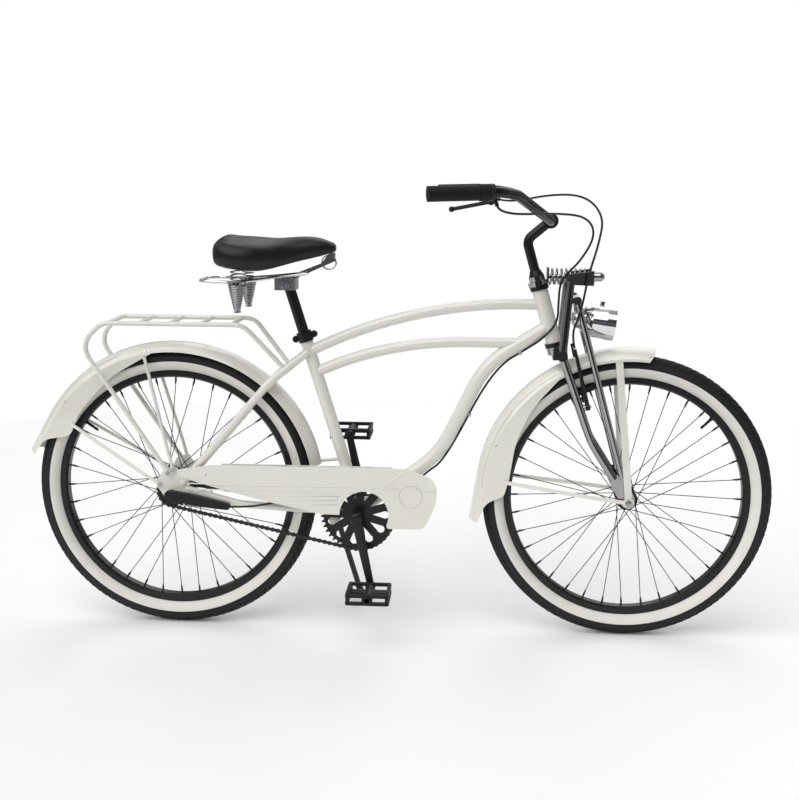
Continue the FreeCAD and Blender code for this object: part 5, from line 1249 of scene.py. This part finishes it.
class CRUISER_OT_lamp(bpy.types.Operator):
    """Sets a reflector and a bulb behind the lamp's lens"""
    bl_idname = "cruiser.lamp"
    bl_label = "Lamp"

    def execute(self, context):
        way = (LENS_MIDDLE - LAMP_BACK).normalized()
        turn = facing(way)
        mouth = LENS_MIDDLE - way * LENS_DEPTH
        for name, profile, sides, slot in (("lamp_reflector", REFLECTOR, 48, "chrome"),
                                           ("lamp_bulb", BULB, 20, "lens_clear")):
            built(name, lambda bm: spun(bm, profile, mouth, turn, sides), "springer", slot, rounded=True)
        return {"FINISHED"}


# Rivets, as places in x and z
RIVETS = {
    "front_fender": ("springer", [(0.580, 0.672), (0.235, 0.46), (0.40, 0.632)]),
    "rear_fender": ("frame", [(-0.30, 0.602), (-0.585, 0.668), (-0.78, 0.545), (-0.845, 0.43)]),
    "chain_guard": ("frame", [(-0.44, 0.385)]),
}
RIVET_HEAD = [(0.0036, -0.0004), (0.0034, 0.0004), (0.0026, 0.0012), (0.0012, 0.0016)]


class CRUISER_OT_rivets(bpy.types.Operator):
    """Sets round rivets on the fenders and the guard"""
    bl_idname = "cruiser.rivets"
    bl_label = "Rivets"

    def execute(self, context):
        head = mesh_from("rivet_head", lambda bm: spun(bm, RIVET_HEAD, Vector(), Matrix.Identity(3), 12))
        for node, (body, places) in RIVETS.items():
            surface = node_surface(node)
            spots = []
            for x, z in places:
                for way in (1.0, -1.0):
                    found = side_hit(surface, x, z, way)
                    if found:
                        hit, normal = found
                        out = normal if normal.y * way > 0.0 else -normal
                        spots.append((hit, out, Vector((1.0, 0.0, 0.0))))
            if not spots:
                raise RuntimeError("no rivet lands on " + node)
            scattered(node + "_rivets", spots, head, body, "chrome", "chrome")
        bpy.data.objects.remove(head)
        return {"FINISHED"}


# Stage
SENSOR_HEIGHT = 36.0
CLIP_END = 200.0
FLOOR_RADIUS = 3.0
FLOOR_SIDES = 128
FLOOR_Z = -0.0012
AIM_AT = Vector((0.0, 0.0, 0.45))
# Each light's name, place, spread in degrees and share of the key's strength
LIGHTS = (("Key", (-1.4, -2.2, 3.4), 70.0, 1.0), ("Back", (1.0, 2.6, 3.0), 60.0, 0.35))
# Brightness of the room along each axis, at places from 0 to 1
ROOM_STRIPS = {
    "Z": ((0.0, 0.12), (0.40, 0.15), (0.47, 0.8), (0.50, 1.0), (0.56, 1.0), (0.62, 0.3), (0.70, 0.4),
          (0.78, 1.0), (1.0, 0.7)),
    "Y": ((0.0, 0.12), (0.10, 0.16), (0.20, 0.9), (0.30, 0.35), (0.45, 1.0), (1.0, 1.0)),
    "X": ((0.0, 0.35), (0.22, 1.0), (0.33, 0.05), (0.45, 1.1), (0.57, 1.0), (0.68, 0.04), (1.0, 0.8)),
}


def strip_shades(tree, value, steps):
    """A grey ramp over a value that runs from -1 to 1."""
    spread = add_node(tree, "ShaderNodeMapRange", {"Value": value, "From Min": -1.0})
    shades = add_node(tree, "ShaderNodeValToRGB", {"Fac": spread.outputs["Result"]})
    elements = shades.color_ramp.elements
    for element, (spot, level) in ((elements[0], steps[0]), (elements[1], steps[-1])):
        element.color = (level, level, level, 1.0)
    for spot, level in steps[1:-1]:
        elements.new(spot).color = (level, level, level, 1.0)
    return shades.outputs["Color"]


def soft_room(strength):
    """A pale room with darker strips to mirror in plated parts, and plain white where the camera sees it."""
    world = bpy.data.worlds.new("Soft room")
    world.use_nodes = True
    tree = world.node_tree
    room = tree.nodes["Background"]
    room.inputs["Strength"].default_value = strength
    place = tree.nodes.new("ShaderNodeTexCoord")
    parts = add_node(tree, "ShaderNodeSeparateXYZ", {0: place.outputs["Generated"]})
    tint = (1.0, 1.0, 1.0, 1.0)
    for axis, steps in ROOM_STRIPS.items():
        shades = strip_shades(tree, parts.outputs[axis], steps)
        product = add_node(tree, "ShaderNodeMix", {0: 1.0, 6: tint, 7: shades}, data_type="RGBA",
                           blend_type="MULTIPLY")
        tint = product.outputs[2]
    tree.links.new(tint, room.inputs["Color"])
    seen = add_node(tree, "ShaderNodeBackground", {"Color": (1.0, 1.0, 1.0, 1.0)})
    path = tree.nodes.new("ShaderNodeLightPath")
    mix = add_node(tree, "ShaderNodeMixShader",
                   {0: path.outputs["Is Camera Ray"], 1: room.outputs[0], 2: seen.outputs[0]})
    tree.links.new(mix.outputs[0], tree.nodes["World Output"].inputs["Surface"])
    return world


class CRUISER_OT_stage(bpy.types.Operator):
    """Sets the camera, the pale floor and the soft lights"""
    bl_idname = "cruiser.stage"
    bl_label = "Stage"

    def execute(self, context):
        stage = context.scene.cruiser_stage
        self.set_camera(context.scene, stage)
        floor = mesh_from("floor", lambda bm: bmesh.ops.create_circle(
            bm, cap_ends=True, segments=FLOOR_SIDES, radius=FLOOR_RADIUS,
            matrix=Matrix.Translation((0.0, 0.0, FLOOR_Z))))
        floor.data.materials.append(coated("Pale floor", stage.floor, 0.6, 0.01, 0.4))
        context.scene.world = soft_room(stage.room)
        context.scene.view_settings.view_transform = "Standard"
        for label, place, spread, share in LIGHTS:
            lamp = bpy.data.lights.new(label, "SUN")
            lamp.angle = math.radians(spread)
            lamp.energy = stage.key * share
            light = add_object(label, lamp)
            light.location = place
            light.rotation_euler = (AIM_AT - Vector(place)).to_track_quat("-Z", "Y").to_euler()
        return {"FINISHED"}

    def set_camera(self, scene, stage):
        cy, sy = math.cos(stage.yaw), math.sin(stage.yaw)
        cp, sp = math.cos(stage.pitch), math.sin(stage.pitch)
        cr, sr = math.cos(stage.roll), math.sin(stage.roll)
        ahead = Vector((-sy * cp, cy * cp, -sp))
        right = Vector((cy, sy, 0.0))
        up = right.cross(ahead)
        turn = Matrix((right * cr + up * sr, up * cr - right * sr, -ahead)).transposed()
        data = bpy.data.cameras.new("Camera")
        data.sensor_fit = "VERTICAL"
        data.sensor_height = SENSOR_HEIGHT
        data.lens = stage.lens
        data.clip_end = CLIP_END
        camera = add_object("Camera", data)
        camera.matrix_world = Matrix.Translation(stage.camera_at) @ turn.to_4x4()
        scene.camera = camera


OPERATORS = (CRUISER_OT_finishes, CRUISER_OT_stage, CRUISER_OT_cables, CRUISER_OT_springs, CRUISER_OT_chain,
             CRUISER_OT_wheels, CRUISER_OT_saddle, CRUISER_OT_clamp_bolt, CRUISER_OT_crank,
             CRUISER_OT_fender_lines, CRUISER_OT_stays, CRUISER_OT_pedals, CRUISER_OT_guard_lines,
             CRUISER_OT_lamp, CRUISER_OT_rivets)
GROUPS = {"cruiser_colours": CruiserColours, "cruiser_sizes": CruiserSizes, "cruiser_stage": CruiserStage}


class CRUISER_PT_panel(bpy.types.Panel):
    """Lists the dresser's steps and values."""
    bl_idname = "CRUISER_PT_panel"
    bl_label = "Cruiser bicycle"
    bl_space_type = "VIEW_3D"
    bl_region_type = "UI"
    bl_category = "Cruiser"

    def draw(self, context):
        layout = self.layout
        for name in GROUPS:
            group = getattr(context.scene, name)
            box = layout.box()
            for label in group.__annotations__:
                box.prop(group, label)
        for operator in OPERATORS:
            layout.operator(operator.bl_idname)


def register():
    for group in GROUPS.values():
        bpy.utils.register_class(group)
    for label, group in GROUPS.items():
        setattr(bpy.types.Scene, label, PointerProperty(type=group))
    for item in OPERATORS + (CRUISER_PT_panel,):
        bpy.utils.register_class(item)


def unregister():
    for item in reversed(OPERATORS + (CRUISER_PT_panel,)):
        bpy.utils.unregister_class(item)
    for label, group in GROUPS.items():
        delattr(bpy.types.Scene, label)
        bpy.utils.unregister_class(group)


def main():
    register()
    for operator in OPERATORS:
        family, name = operator.bl_idname.split(".")
        getattr(getattr(bpy.ops, family), name)()


if __name__ == "__main__":
    main()
